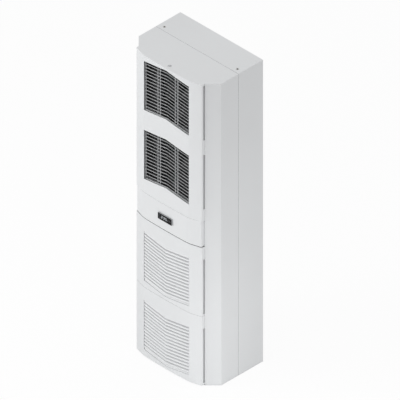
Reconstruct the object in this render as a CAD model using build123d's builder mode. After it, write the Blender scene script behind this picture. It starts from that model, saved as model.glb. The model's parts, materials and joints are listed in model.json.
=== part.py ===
from build123d import *
import os
from math import cos, radians, sin

os.makedirs("parts", exist_ok=True)

# A tall air conditioner that is bolted by its back to a cabinet, in millimetres.
# X runs across the front, Y from the front to the back, Z up. The origin lies under the middle
# of the whole outline, at the height of the flat bottom.

# Casing
width = 485.0  # outer width of both casing halves
height = 1532.0  # outer height of both casing halves
sheet = 1.5  # steel sheet of the casing and the brackets
back_depth = 143.6  # rear casing, from the seam to its back face
side_depth = 101.3  # straight side of the front shell
corner_cut = 47.7  # front shell's 45 degree corners, along X and along Y
seam_lip = 12.0  # inward lip on the rear casing's front edge
face_flange = 13.5  # from the front shell's corners to the front plate
edge_bend = 2.0  # outer radius of the front shell's upright bends
gasket_thickness = 5.0
gasket_band = 15.0  # width of the gasket's strip
gasket_inset = 5.0  # from the casing's edge to the gasket
fit_gap = 0.3  # between pieces that sit in each other
running_gap = 0.05  # between a shaft and its bore

# Covers
cover_side_gap = 1.8  # from the front plate's corner to a cover's side
cover_return = 15.5  # straight side of a cover, from the front shell forwards
cover_step = 32.6  # from the front shell to the ends of the crowned front
cover_crown = 3.2  # how far the front bulges at its middle
cover_shoulder = 58.3  # width of each slanted shoulder beside the crowned front
cover_bend = 110.0  # radius of those bends
cover_corner = 5.0  # radius where the slanted front turns into the side
cover_wall = 2.5
cover_base_gap = 4.0  # from the casing's bottom to the lowest cover
upper_cover_height = 696.0
panel_height = 128.0
panel_inset = 3.8  # how much further in the display panel's sides lie
seam_gap = 0.8  # close seams between covers
panel_gap = 3.0  # open seam under the display panel

# Windows and louvres
window_side = 2.7  # from a soft bend of the crowned front to the window
window_height = 249.0  # at the sides of the window
window_rise = 18.7  # of the chevron's middle over its ends
window_pitch = 350.0  # between the two windows of the upper cover
outlet_margin = 30.0  # from the casing's top to the upper window's top corners
intake_margin = 33.0  # from an intake cover's bottom to its window's bottom corners
louvre_pitch = 16.5
louvre_first_gap = 8.9  # from the window's edge to the first slat
louvre_nose = 7.0  # upright front edge of a slat
louvre_tail = 2.0  # upright thickness at its rear edge
louvre_depth = 10.5
louvre_drop = 10.5  # how much lower a slat's upper face is at the rear
louvre_setback = 0.3  # from the cover's front to the slats' noses
louvre_end_drop = 0.45  # how far the soft bend has turned back where a slat ends
louvre_frame = 2.2  # wall of the louvre's side frame
louvre_flange = 5.0  # how far the flange reaches behind the cover
louvre_flange_back = 1.9  # extra room behind the soft bend of the cover
louvre_flange_wall = 2.0

# Slots in the covers' side returns
notch_depth = 7.5
notch_height = 276.0
outlet_notch_over = 20.0  # above the upper windows' top corners
intake_notch_under = 23.0  # under the lower windows' bottom corners

# Openings of the front shell behind the covers
duct_side = 20.3  # from the front plate's side to an opening
fan_duct_over = 10.5  # how much further up and down than the window
filter_duct_over = 20.5
box_opening_side = 31.3
box_opening_height = 104.0

# Cover brackets: legs of the folded angles
bracket_leg = 20.0
bracket_reach = 12.0  # forwards, along the cover's return
bracket_height = 20.0
bracket_under_lower = 28.7  # from the lower intake cover's top to its bracket's middle
bracket_under_upper = 29.2  # from the upper intake cover's top
bracket_over_panel = 64.8  # from the display panel's bottom
bracket_over_base = 33.0  # from the upper cover's bottom
bracket_from_top = 320.0  # from the casing's top, between the outlets

# Controller
bezel_width = 80.5
bezel_height = 30.5
bezel_stand = 6.5  # how far it stands out from the display panel's crown
bezel_corner = 1.0
bezel_rim = 1.2  # width of the rim round the film
film_recess = 1.2
film_thickness = 1.0
controller_width = 70.0
controller_height = 26.0
controller_depth = 58.0
controller_below_top = 763.0  # its middle, from the casing's top
key_width = 6.5
key_height = 5.5
key_flange = 0.8  # how much wider the key is behind the film
key_flange_wall = 0.8
key_stand = 1.0  # how far the keys stand out of the film
key_travel = 0.6
key_clearance = 0.1
key_positions = (19.0, 30.0)  # along X

# Air openings in the back
inlet_width = 240.0
inlet_height = 220.0
inlet_from_top = 172.0  # from the casing's top to the middle of the inlet and the blower
outlet_width = 340.0
outlet_height = 130.0
outlet_middle = 520.0
grille_flange = 9.0  # how far a grille's flange reaches behind the back
grille_slot = 13.0
grille_pitch = 18.0
grille_rib = 6.0

# Condenser fans
fan_radius = 113.0
fan_tip_gap = 3.0  # from the blade tips to the shroud
fan_hub_radius = 45.0
fan_hub_sides = 20
fan_hub_depth = 24.0
fan_hub_behind_face = 10.0  # from the shell's inner face to the hub's front
fan_blades = 5
fan_blade_pitch = 28.0  # degrees
fan_blade_root = 28.0  # width of a blade in the hub
fan_blade_width = 76.0
fan_blade_wall = 2.4
spindle_radius = 4.0
spindle_short = 4.0  # from the spindle's end to the hub's front
motor_gap = 1.0  # from the motor to the hub
motor_radius = 38.0
motor_depth = 30.0
shroud_plate = 2.5
shroud_lap = 7.0  # how far the shroud reaches over its opening at the sides
shroud_end_lap = 9.0  # and at its ends
arm_width = 14.0
arm_wall = 4.0
arm_reach = 92.0  # along X and Z, from the middle to the posts

# Blower of the enclosure air
blower_radius = 105.0
blower_width = 50.0
blower_eye = 72.0  # radius of the inlet plate's hole
blower_plate = 2.5
blower_blades = 7
blower_blade_wall = 2.5
blower_blade_root = 56.0  # radius where the blades begin
blower_blade_lean = 35.0  # degrees, backwards
blower_hub_depth = 12.0
blower_motor_radius = 46.0
blower_motor_flange = 112.0
blower_motor_flange_wall = 3.0
blower_gap = 8.0  # from the motor to the impeller
blower_spindle_radius = 5.0
blower_inlet_gap = 6.0  # from the blades to the inlet plate

# Partition and cold side
shelf_top = 372.0
foam = 6.0
core_depth = 44.0  # of both coils
plate_wall = 1.5  # coil end plates
core_side_gap = 4.8  # from the shell's corner to the coils' sides
evaporator_height = 330.0
evaporator_tilt = 14.0  # degrees from upright
evaporator_middle_y = 95.0
evaporator_middle_z = 572.0
tray_height = 24.0
tray_front = 28.0
tray_depth = 72.0
tray_side = 4.5  # from the coil to the tray's outer side
drain_radius = 7.0
drain_bore = 5.0
drain_from_side = 92.5  # from the casing's side
drain_y = 75.0

# Condenser
condenser_base = 24.0
condenser_under_box = 39.0  # from its top to the electrical box
condenser_behind_face = 4.0
header = 12.0  # side of the coils' square headers
header_out = 14.0  # from the coil's side to the header's middle
stub = 8.0  # side of the square stubs between plate and header

# Refrigerant lines
line_radius = 4.75
line_hole = 16.0  # side of the square holes for the lines in the shelf
line_y = 62.0
discharge_level = 302.0
discharge_y = -40.0  # where it turns aside, between compressor and coil
liquid_level = 70.0
header_foot = 430.0  # lower end of the evaporator's headers
header_length = 90.0
drier_radius = 11.0
drier_base = 150.0
drier_length = 110.0

# Filters
filter_lap = 9.0  # how far a mat reaches over its opening at the sides
filter_end_lap = 8.0  # and at its ends
filter_thickness = 10.0

# Compressor
compressor_radius = 62.0
compressor_from_side = 132.5  # from the casing's side
compressor_y = 92.0
compressor_height = 232.0
compressor_cap_radius = 50.0
compressor_cap_height = 22.0
foot_half_width = 60.0  # from the compressor's middle to its pads
foot_half_depth = 48.0
foot_margin = 15.0
foot_wall = 4.0
pad_side = 28.0
pad_height = 16.0
accumulator_radius = 27.0
accumulator_base = 60.0
accumulator_height = 160.0
strap_height = 24.0

# Electrical box
box_lap = 15.0  # how much further out the box goes than its opening
box_height = 176.0
box_depth = 78.0
box_sheet = 1.2
terminal_width = 120.0
terminal_height = 24.0
terminal_depth = 22.0
terminal_from_side = 23.8  # from the box's inner side
terminal_over_controller = 55.0
terminal_pitch = 12.0
terminal_count = 9
terminal_slot = 9.0  # width of a slot
terminal_slot_depth = 8.0
contactor_width = 45.0
contactor_height = 58.0
contactor_depth = 40.0
contactor_step = 12.0  # how much smaller its upper stage is
contactor_step_depth = 16.0
contactor_from_side = 31.3
capacitor_width = 52.0
capacitor_height = 40.0
capacitor_depth = 30.0
capacitor_from_side = 32.8
devices_under_controller = 30.0

# Fastener on top
latch_radius = 8.0
latch_head = 3.0
latch_shank = 3.0
latch_bar_length = 20.0
latch_bar_width = 5.0
latch_bar_height = 3.5
latch_boss_side = 22.0
latch_boss_height = 6.0
latch_from_face = 12.5  # from the front shell to its middle
latch_tongue_width = 40.0
latch_tongue_depth = 25.0
latch_tongue_drop = 12.0
latch_slot_gap = 1.0  # round the bar, in the tongue
slot_width = 1.4
slot_depth = 1.2

# Threaded inserts and cable entry
insert_across = 11.0
insert_bore = 3.4  # core of an M8 thread
insert_length = 17.0
insert_fit = 0.1
lifting_across = 14.0
lifting_bore = 4.25  # core of an M10 thread
lifting_inset = 28.0  # from the casing's side
lifting_behind_seam = 22.0
mount_inset = 36.0  # from the casing's side
mount_from_end = 60.0  # from the casing's top and bottom
mount_rows = 3
entry_bore = 8.0
entry_width = 50.0
entry_height = 30.0
entry_rim = 4.0
cable_from_side = 92.5  # from the casing's side
cable_z = 250.0

# Places along Y, from the front to the back
total_depth = (
    bezel_stand
    + cover_crown
    + cover_step
    + corner_cut
    + side_depth
    + back_depth
    + gasket_thickness
)
y_bezel = -total_depth / 2
y_crown = y_bezel + bezel_stand
y_front = y_crown + cover_crown
y_face = y_front + cover_step
y_corner = y_face + corner_cut
y_seam = y_corner + side_depth
y_back = y_seam + back_depth
y_gasket = y_back + gasket_thickness
inner_face = y_face + sheet
inner_back = y_back - sheet
y_partition = y_seam + sheet
y_cold = y_partition + sheet
y_latch = y_face - latch_from_face

# Places along X and Z
half_width = width / 2
inner_half = half_width - sheet
half_face = half_width - corner_cut
plate_width = 2 * (half_face - face_flange)
half_cover = half_face - cover_side_gap
half_front = half_cover - cover_shoulder  # crowned front, between its two soft bends
half_window = half_front - window_side
duct_width = plate_width - 2 * duct_side
fan_duct_height = window_height + 2 * fan_duct_over
filter_duct_height = window_height + 2 * filter_duct_over
shroud_width = duct_width + 2 * shroud_lap
shroud_height = fan_duct_height + 2 * shroud_end_lap
filter_width = duct_width + 2 * filter_lap
filter_height = filter_duct_height + 2 * filter_end_lap
half_core = half_face - core_side_gap
core_width = 2 * half_core
header_x = half_core + header_out
drain_x = half_width - drain_from_side
cable_x = half_width - cable_from_side
compressor_x = compressor_from_side - half_width
inlet_middle = height - inlet_from_top
box_opening_width = plate_width - 2 * box_opening_side
box_width = box_opening_width + 2 * box_lap
box_inner_half = box_width / 2 - box_sheet
terminal_x = terminal_from_side + terminal_width / 2 - box_inner_half
contactor_x = contactor_from_side + contactor_width / 2 - box_inner_half
capacitor_x = box_inner_half - capacitor_width / 2 - capacitor_from_side
upper_cover_base = height - upper_cover_height
panel_base = upper_cover_base - seam_gap - panel_height
intake_top = panel_base - panel_gap
intake_cover_height = (intake_top - cover_base_gap - seam_gap) / 2
intake_bases = [cover_base_gap + row * (intake_cover_height + seam_gap) for row in (1, 0)]
z_controller = height - controller_below_top
condenser_height = z_controller - box_height / 2 - condenser_under_box - condenser_base
bracket_levels = (
    intake_bases[1] + intake_cover_height - bracket_under_lower,
    intake_top - bracket_under_upper,
    panel_base + bracket_over_panel,
    upper_cover_base + bracket_over_base,
    height - bracket_from_top,
)
mount_spacing = (height - 2 * mount_from_end) / (mount_rows - 1)

# As many slats as the window has room for
louvre_room = window_height - louvre_first_gap - louvre_nose
louvre_count = int(louvre_room // louvre_pitch) + 1

# Heights of the windows' lower side corners, the upper window of each kind first
outlet_windows = [
    height - outlet_margin - window_height - row * window_pitch for row in (0, 1)
]
intake_windows = [base + intake_margin for base in intake_bases]
outlet_middles = [z + window_height / 2 for z in outlet_windows]
intake_middles = [z + window_height / 2 for z in intake_windows]

TOP = (Align.CENTER, Align.CENTER, Align.MAX)
BASE = (Align.CENTER, Align.CENTER, Align.MIN)


def facing(y):
    """A plane across the machine at depth y that faces the front."""
    return Plane.XZ.offset(-y)


def level(z):
    """A level plane at height z."""
    return Plane.XY.offset(z)


def save(builder, name):
    """Name a finished piece and write its file."""
    builder.part.label = name
    export_step(builder.part, f"parts/{name}.step")


def cover_plan(side_inset=0.0):
    """A cover from above: straight returns, slanted shoulders and a crowned front."""
    side = half_cover - side_inset
    y_return = y_face - cover_return
    with BuildSketch(Plane.XY) as plan:
        with BuildLine(Plane.XY):
            Polyline((-half_front, y_front), (-side, y_return), (-side, y_face))
            Line((-side, y_face), (side, y_face))
            Polyline((side, y_face), (side, y_return), (half_front, y_front))
            ThreePointArc((half_front, y_front), (0, y_crown), (-half_front, y_front))
        make_face()
        corners = plan.vertices().filter_by(lambda v: abs(v.Y - y_return) < 0.01)
        fillet(corners, radius=cover_corner)
        bends = plan.vertices().filter_by(
            lambda v: abs(v.Y - y_front) < 0.01 and abs(abs(v.X) - half_front) < 0.01
        )
        fillet(bends, radius=cover_bend)
    return plan.sketch


def chevron(z_low, rise, grow=0.0):
    """A window from the front, grown by a margin, with its peak or dip in the middle."""
    half = half_window + grow
    low = z_low - grow
    high = z_low + window_height + grow
    with BuildSketch(Plane.XY) as window:
        Polygon(
            (-half, low),
            (0, low + rise),
            (half, low),
            (half, high),
            (0, high + rise),
            (-half, high),
            align=None,
        )
    return window.sketch


def cover_shell(base, tall, plan, windows=(), notch_bases=()):
    """A cover of even wall, open to the rear, with its windows and the slots in its returns."""
    with BuildPart() as shell:
        with BuildSketch(level(base)):
            add(plan)
        extrude(amount=tall)
        rear = shell.faces().sort_by(Axis.Y)[-1]
        offset(amount=-cover_wall, openings=rear, kind=Kind.INTERSECTION)
        for window in windows:
            with BuildSketch(facing(y_front + cover_wall * 3)):
                add(window)
            extrude(amount=cover_step, mode=Mode.SUBTRACT)
        for low in notch_bases:
            with BuildSketch(Plane.YZ.offset(-half_cover)):
                with Locations((y_face, low)):
                    Rectangle(notch_depth, notch_height, align=(Align.MAX, Align.MIN))
            extrude(amount=2 * half_cover, mode=Mode.SUBTRACT)
    return shell.part


# Rear casing: a wrap of folded sheet for the sides, top and bottom, with a lip along the seam
with BuildPart() as rear_casing:
    with BuildSketch(facing(y_back)):
        with Locations((0, height / 2)):
            Rectangle(width, height)
            Rectangle(width - 2 * sheet, height - 2 * sheet, mode=Mode.SUBTRACT)
    extrude(amount=back_depth)
    with BuildSketch(facing(y_partition)):
        with Locations((0, height / 2)):
            Rectangle(width - 2 * sheet, height - 2 * sheet)
            Rectangle(width - 2 * seam_lip, height - 2 * seam_lip, mode=Mode.SUBTRACT)
    extrude(amount=sheet)
    with BuildSketch(level(height)):
        with Locations((0, y_seam + lifting_behind_seam)):
            with GridLocations(width - 2 * lifting_inset, 1, 2, 1):
                RegularPolygon(lifting_across / 2 + insert_fit, 6, major_radius=False)
    extrude(amount=-sheet, mode=Mode.SUBTRACT)
    with BuildSketch(level(0)):
        with Locations((drain_x, drain_y)):
            Circle(drain_radius + running_gap)
    extrude(amount=sheet, mode=Mode.SUBTRACT)
save(rear_casing, "rear_casing")

# Rear panels, let into the wrap: one for the cold side with its two air openings, one for the
# compressor bay with the cable entry. Both hold mounting inserts.
panel_spans = {"rear_panel": (shelf_top, height - sheet), "rear_base_panel": (sheet, shelf_top)}
for name, (low, high) in panel_spans.items():
    with BuildPart() as back_sheet:
        with BuildSketch(facing(y_back)):
            with Locations((0, (low + high) / 2)):
                Rectangle(width - 2 * sheet, high - low)
            with Locations((0, height / 2)):
                with GridLocations(width - 2 * mount_inset, mount_spacing, 2, mount_rows):
                    RegularPolygon(
                        insert_across / 2 + insert_fit,
                        6,
                        major_radius=False,
                        mode=Mode.SUBTRACT,
                    )
            with Locations((0, inlet_middle)):
                Rectangle(inlet_width, inlet_height, mode=Mode.SUBTRACT)
            with Locations((0, outlet_middle)):
                Rectangle(outlet_width, outlet_height, mode=Mode.SUBTRACT)
            with Locations((cable_x, cable_z)):
                Rectangle(entry_width, entry_height, mode=Mode.SUBTRACT)
        extrude(amount=sheet)
    save(back_sheet, name)

# Front shell: wraps the condenser side, with 45 degree corners and narrow flanges on its face
with BuildPart() as front_shell:
    with BuildSketch(level(0)):
        Polygon(
            (-half_width, y_seam),
            (-half_width, y_corner),
            (-half_face, y_face),
            (half_face, y_face),
            (half_width, y_corner),
            (half_width, y_seam),
            align=None,
        )
    extrude(amount=height)
    fillet(front_shell.edges().filter_by(Axis.Z).sort_by(Axis.Y)[:4], radius=edge_bend)
    offset(
        amount=-sheet,
        openings=front_shell.faces().sort_by(Axis.Y)[-1],
        kind=Kind.INTERSECTION,
    )
    with BuildSketch(facing(inner_face)):
        with Locations((0, height / 2)):
            Rectangle(plate_width, height - 2 * sheet)
    extrude(amount=sheet, mode=Mode.SUBTRACT)
save(front_shell, "front_shell")

# Front plate between those flanges, behind the covers, with the openings of fans and filters
with BuildPart() as front_plate:
    with BuildSketch(facing(inner_face)):
        with Locations((0, height / 2)):
            Rectangle(plate_width, height - 2 * sheet)
        for middle in outlet_middles:
            with Locations((0, middle)):
                Rectangle(duct_width, fan_duct_height, mode=Mode.SUBTRACT)
        for middle in intake_middles:
            with Locations((0, middle)):
                Rectangle(duct_width, filter_duct_height, mode=Mode.SUBTRACT)
        with Locations((0, z_controller)):
            Rectangle(box_opening_width, box_opening_height, mode=Mode.SUBTRACT)
    extrude(amount=sheet)
save(front_plate, "front_plate")

# Covers: the upper one carries the boss of the fastener, the lower two are alike
full_plan = cover_plan()
outlet_outlines = [chevron(z, window_rise) for z in outlet_windows]
outlet_notches = [
    z + window_height + outlet_notch_over - notch_height for z in outlet_windows
]
upper_shell = cover_shell(
    upper_cover_base, upper_cover_height, full_plan, outlet_outlines, outlet_notches
)
with BuildPart() as upper_cover:
    add(upper_shell)
    with Locations((0, y_latch, height)):
        Box(latch_boss_side, latch_boss_side, latch_boss_height, align=TOP)
        Cylinder(latch_radius + fit_gap, latch_head, align=TOP, mode=Mode.SUBTRACT)
        Cylinder(
            latch_shank + running_gap, latch_boss_height, align=TOP, mode=Mode.SUBTRACT
        )
save(upper_cover, "upper_cover")

for name, base, window_low in zip(("upper", "lower"), intake_bases, intake_windows):
    outline = chevron(window_low, -window_rise)
    intake_shell = cover_shell(
        base, intake_cover_height, full_plan, [outline], [window_low - intake_notch_under]
    )
    with BuildPart() as intake_cover:
        add(intake_shell)
    save(intake_cover, f"intake_cover_{name}")

panel_shell = cover_shell(panel_base, panel_height, cover_plan(panel_inset))
with BuildPart() as display_panel:
    add(panel_shell)
    with BuildSketch(facing(y_front + cover_wall * 2)):
        with Locations((0, z_controller)):
            Rectangle(controller_width + 2 * fit_gap, controller_height + 2 * fit_gap)
    extrude(amount=cover_step, mode=Mode.SUBTRACT)
save(display_panel, "display_panel")

# Louvre insert, drawn about the window's middle as the outlets have it. Slats and rails are two
# straight legs each, which rise to the middle and follow the crown. A slat falls to the rear.
leg_end = half_window - fit_gap - louvre_frame / 2
leg_rise = window_rise * leg_end / half_window
y_leg = y_front + louvre_end_drop
leg = Vector(leg_end, y_crown - y_leg, leg_rise)
y_nose = y_leg + louvre_setback
y_rail = y_leg + cover_wall + fit_gap
z_top = window_height / 2 + window_rise - leg_rise
z_bottom = z_top - window_height
y_side_rail = y_front + cover_wall + louvre_flange_back
y_frame_rear = y_nose + louvre_depth
with BuildPart() as louvre_form:
    with BuildSketch(Plane.YZ.offset(-leg_end)):
        for row in range(louvre_count):
            z = z_top - louvre_first_gap - row * louvre_pitch
            Polygon(
                (y_nose, z),
                (y_nose + louvre_depth, z - louvre_drop),
                (y_nose + louvre_depth, z - louvre_drop - louvre_tail),
                (y_nose, z - louvre_nose),
                align=None,
            )
        with Locations((y_rail, z_top - fit_gap - louvre_tail)):
            Rectangle(louvre_flange_wall, louvre_flange, align=(Align.MIN, Align.MIN))
        with Locations((y_rail, z_bottom + fit_gap + louvre_tail)):
            Rectangle(louvre_flange_wall, louvre_flange, align=(Align.MIN, Align.MAX))
    extrude(amount=leg.length, dir=leg)
    with BuildSketch(level(2 * fit_gap - window_height / 2)):
        Polygon(
            (fit_gap - half_window, y_nose),
            (fit_gap - half_window, y_side_rail),
            (-half_window - louvre_flange, y_side_rail),
            (-half_window - louvre_flange, y_side_rail + louvre_flange_wall),
            (fit_gap - half_window, y_side_rail + louvre_flange_wall),
            (fit_gap - half_window, y_frame_rear),
            (fit_gap - half_window + louvre_frame, y_frame_rear),
            (fit_gap - half_window + louvre_frame, y_nose),
            align=None,
        )
    extrude(amount=window_height - 3 * fit_gap)
    mirror(about=Plane.YZ)

# The intakes have the insert upside down
turned = Rot(0, 180, 0)
louvres = {
    "outlet_louvre_upper": Pos(0, 0, outlet_middles[0]) * louvre_form.part,
    "outlet_louvre_lower": Pos(0, 0, outlet_middles[1]) * louvre_form.part,
    "intake_louvre_upper": Pos(0, 0, intake_middles[0]) * turned * louvre_form.part,
    "intake_louvre_lower": Pos(0, 0, intake_middles[1]) * turned * louvre_form.part,
}
for name, form in louvres.items():
    with BuildPart() as louvre:
        add(form)
    save(louvre, name)

# Folded angles on the front shell that carry the covers by their returns
with BuildPart() as cover_brackets:
    for z in bracket_levels:
        in_panel = panel_base < z < upper_cover_base
        side_inset = panel_inset if in_panel else 0.0
        x_outer = half_cover - side_inset - cover_wall - fit_gap
        with BuildSketch(level(z - bracket_height / 2)):
            Polygon(
                (x_outer, y_face - bracket_reach),
                (x_outer, y_face),
                (x_outer - bracket_leg, y_face),
                (x_outer - bracket_leg, y_face - sheet),
                (x_outer - sheet, y_face - sheet),
                (x_outer - sheet, y_face - bracket_reach),
                align=None,
            )
        extrude(amount=bracket_height)
    mirror(about=Plane.YZ)
save(cover_brackets, "cover_brackets")

# Filter mats on the front shell, over the openings in front of the condenser coil
for name, middle in zip(("upper", "lower"), intake_middles):
    with BuildPart() as filter_mat:
        with BuildSketch(facing(y_face)):
            with Locations((0, middle)):
                Rectangle(filter_width, filter_height)
        extrude(amount=filter_thickness)
    save(filter_mat, f"filter_mat_{name}")

# Condenser fan, drawn about its axis: plate with a round mouth, posts and arms for the motor
y_hub = inner_face + fan_hub_behind_face
y_hub_rear = y_hub + fan_hub_depth
y_motor = y_hub_rear + motor_gap
y_motor_rear = y_motor + motor_depth
y_arm_rear = y_motor_rear + arm_wall
with BuildPart() as shroud_form:
    with BuildSketch(facing(inner_face + shroud_plate)):
        Rectangle(shroud_width, shroud_height)
        Circle(fan_radius + fan_tip_gap, mode=Mode.SUBTRACT)
    extrude(amount=shroud_plate)
    with BuildSketch(facing(y_arm_rear)):
        with GridLocations(2 * arm_reach, 2 * arm_reach, 2, 2):
            Rectangle(arm_width, arm_width)
    extrude(amount=y_arm_rear - inner_face - shroud_plate)
    with BuildSketch(facing(y_arm_rear)):
        Rectangle(2 * arm_reach * 2**0.5, arm_width, rotation=45)
        Rectangle(2 * arm_reach * 2**0.5, arm_width, rotation=-45)
    extrude(amount=arm_wall)

with BuildPart() as motor_form:
    with BuildSketch(facing(y_motor_rear)):
        Circle(motor_radius)
    extrude(amount=motor_depth)
    with BuildSketch(facing(y_motor)):
        Circle(spindle_radius)
    extrude(amount=motor_gap + fan_hub_depth - spindle_short)

# A blade is a flat plate, wide at its tip and cut to stay inside the circle
pitch = radians(fan_blade_pitch)
half_blade = fan_blade_width / 2
blade_foot = fan_hub_radius - fan_blade_root / 5
blade_shoulder = (fan_radius**2 - (half_blade * cos(pitch)) ** 2) ** 0.5 - fan_blade_wall
with BuildPart() as impeller_form:
    for blade in range(fan_blades):
        angle = radians(90 + blade * 360 / fan_blades)
        spoke = Vector(cos(angle), 0, sin(angle))
        around = Vector(-sin(angle), 0, cos(angle))
        normal = around * sin(pitch) + Vector(0, cos(pitch), 0)
        middle = Vector(0, y_hub + fan_hub_depth / 2, 0) - normal * fan_blade_wall / 2
        with BuildSketch(Plane(middle, x_dir=spoke, z_dir=normal)):
            Polygon(
                (blade_foot, -fan_blade_root / 2),
                (blade_foot, fan_blade_root / 2),
                (blade_shoulder, half_blade),
                (fan_radius - fan_blade_wall, half_blade / 2),
                (fan_radius - fan_blade_wall, -half_blade / 2),
                (blade_shoulder, -half_blade),
                align=None,
            )
        extrude(amount=fan_blade_wall)
    with BuildSketch(facing(y_hub_rear)):
        RegularPolygon(fan_hub_radius, fan_hub_sides)
    extrude(amount=fan_hub_depth)
    with BuildSketch(facing(y_hub_rear)):
        Circle(spindle_radius + running_gap)
    extrude(amount=fan_hub_depth - spindle_short / 2, mode=Mode.SUBTRACT)

for name, middle in zip(("upper", "lower"), outlet_middles):
    place = Pos(0, 0, middle)
    with BuildPart() as fan_shroud:
        add(place * shroud_form.part)
    save(fan_shroud, f"fan_shroud_{name}")
    with BuildPart() as fan_impeller:
        add(place * impeller_form.part)
    save(fan_impeller, f"fan_impeller_{name}")

with BuildPart() as fan_motors:
    for middle in outlet_middles:
        add(Pos(0, 0, middle) * motor_form.part)
save(fan_motors, "fan_motors")

# Partition between the warm and the cold side: an upright sheet with the shelf folded back
with BuildPart() as partition_panel:
    shelf_base = shelf_top - sheet
    with BuildSketch(facing(y_cold)):
        with Locations((0, (height - sheet + shelf_base) / 2)):
            Rectangle(2 * inner_half - 2 * fit_gap, height - sheet - shelf_base)
    extrude(amount=sheet)
    with BuildSketch(level(shelf_base)):
        with Locations((0, (y_cold + inner_back) / 2)):
            Rectangle(2 * inner_half - 2 * fit_gap, inner_back - y_cold)
        with Locations((-header_x, line_y), (header_x, line_y), (drain_x, drain_y)):
            Rectangle(line_hole, line_hole, mode=Mode.SUBTRACT)
    extrude(amount=sheet)
save(partition_panel, "partition_panel")

# Foam lining of the cold side: both sides and the top, with room for the lifting inserts
with BuildPart() as cold_lining:
    with BuildSketch(facing(inner_back - fit_gap)):
        with Locations((0, (shelf_top + height - sheet) / 2)):
            Rectangle(2 * inner_half - 2 * fit_gap, height - sheet - shelf_top)
        with Locations((0, (shelf_top + height - sheet - foam) / 2)):
            Rectangle(
                2 * inner_half - 2 * foam,
                height - sheet - shelf_top - foam,
                mode=Mode.SUBTRACT,
            )
    extrude(amount=inner_back - y_cold - 2 * fit_gap)
    with BuildSketch(level(height)):
        with Locations((0, y_seam + lifting_behind_seam)):
            with GridLocations(width - 2 * lifting_inset, 1, 2, 1):
                Rectangle(lifting_across + foam, lifting_across + foam)
    extrude(amount=-sheet - foam, mode=Mode.SUBTRACT)
save(cold_lining, "cold_lining")

# Condenser coil: finned core between two end plates that stand on the bottom, with headers
core_front = inner_face + condenser_behind_face
with BuildPart() as condenser_coil:
    with BuildSketch(level(condenser_base)):
        with Locations((0, core_front + core_depth / 2)):
            Rectangle(core_width, core_depth)
    extrude(amount=condenser_height)
    with BuildSketch(level(sheet)):
        with Locations((0, inner_face + (condenser_behind_face + core_depth) / 2)):
            with GridLocations(core_width + plate_wall, 1, 2, 1):
                Rectangle(plate_wall, core_depth + condenser_behind_face)
    extrude(amount=condenser_base + condenser_height)
    y_header = core_front + core_depth / 2
    with BuildSketch(level(condenser_base + header_out)):
        with Locations((-header_x, y_header), (header_x, y_header)):
            Rectangle(header, header)
    extrude(amount=condenser_height - 2 * header_out)
    with BuildSketch(Plane.YZ.offset(-header_x)):
        with Locations((y_header, condenser_base + condenser_height / 2)):
            with GridLocations(1, condenser_height - 6 * header_out, 1, 2):
                Rectangle(stub, stub)
    extrude(amount=2 * header_x)
save(condenser_coil, "condenser_coil")

# Evaporator coil: leans back, stands in the tray on its end plates, headers on both sides
lean = Rot(-evaporator_tilt, 0, 0)
core_place = Pos(0, evaporator_middle_y, evaporator_middle_z) * lean
tilt_run = evaporator_height / 2 * sin(radians(evaporator_tilt))
tilt_rise = evaporator_height / 2 * cos(radians(evaporator_tilt))
half_run = core_depth / 2 / cos(radians(evaporator_tilt)) + 1.0
core_low = evaporator_middle_z - tilt_rise
core_high = evaporator_middle_z + tilt_rise
tray_floor = shelf_top + plate_wall
with BuildPart() as evaporator_coil:
    with Locations(core_place):
        Box(core_width, core_depth, evaporator_height)
    with BuildSketch(Plane.YZ.offset(-half_core - plate_wall)):
        Polygon(
            (evaporator_middle_y - tilt_run - half_run, tray_floor),
            (evaporator_middle_y - tilt_run + half_run, tray_floor),
            (evaporator_middle_y - tilt_run + half_run, core_low),
            (evaporator_middle_y + tilt_run + half_run, core_high),
            (evaporator_middle_y + tilt_run + half_run, core_high + 2 * plate_wall),
            (evaporator_middle_y + tilt_run - half_run, core_high + 2 * plate_wall),
            (evaporator_middle_y - tilt_run - half_run, core_low),
            align=None,
        )
    extrude(amount=plate_wall)
    mirror(about=Plane.YZ)
    with BuildSketch(level(core_high + plate_wall * 3)):
        with Locations((0, evaporator_middle_y + tilt_run - half_run)):
            Rectangle(
                core_width + 2 * plate_wall,
                inner_back - evaporator_middle_y - tilt_run + half_run,
                align=(Align.CENTER, Align.MIN),
            )
    extrude(amount=-plate_wall * 2)
    with BuildSketch(level(header_foot)):
        with Locations((-header_x, line_y), (header_x, line_y)):
            Rectangle(header, header)
    extrude(amount=header_length)
    with BuildSketch(Plane.YZ.offset(-header_x)):
        with Locations((line_y, header_foot + 2 * stub)):
            Rectangle(stub, stub)
    extrude(amount=2 * header_x)
save(evaporator_coil, "evaporator_coil")

# Condensate tray under the evaporator, and the tube that drains it through the bottom
with BuildPart() as condensate_tray:
    with BuildSketch(level(shelf_top)):
        with Locations((0, tray_front + tray_depth / 2)):
            Rectangle(core_width + 2 * plate_wall + 2 * tray_side, tray_depth)
    extrude(amount=tray_height)
    with BuildSketch(level(shelf_top + tray_height)):
        with Locations((0, tray_front + tray_depth / 2)):
            Rectangle(core_width + 2 * tray_side, tray_depth - 2 * plate_wall)
    extrude(amount=plate_wall - tray_height, mode=Mode.SUBTRACT)
    with BuildSketch(level(tray_floor)):
        with Locations((drain_x, drain_y)):
            Circle(drain_radius + running_gap)
    extrude(amount=-plate_wall, mode=Mode.SUBTRACT)
save(condensate_tray, "condensate_tray")

with BuildPart() as drain_tube:
    with BuildSketch(level(0)):
        with Locations((drain_x, drain_y)):
            Circle(drain_radius)
            Circle(drain_bore, mode=Mode.SUBTRACT)
    extrude(amount=tray_floor)
save(drain_tube, "drain_tube")

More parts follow.
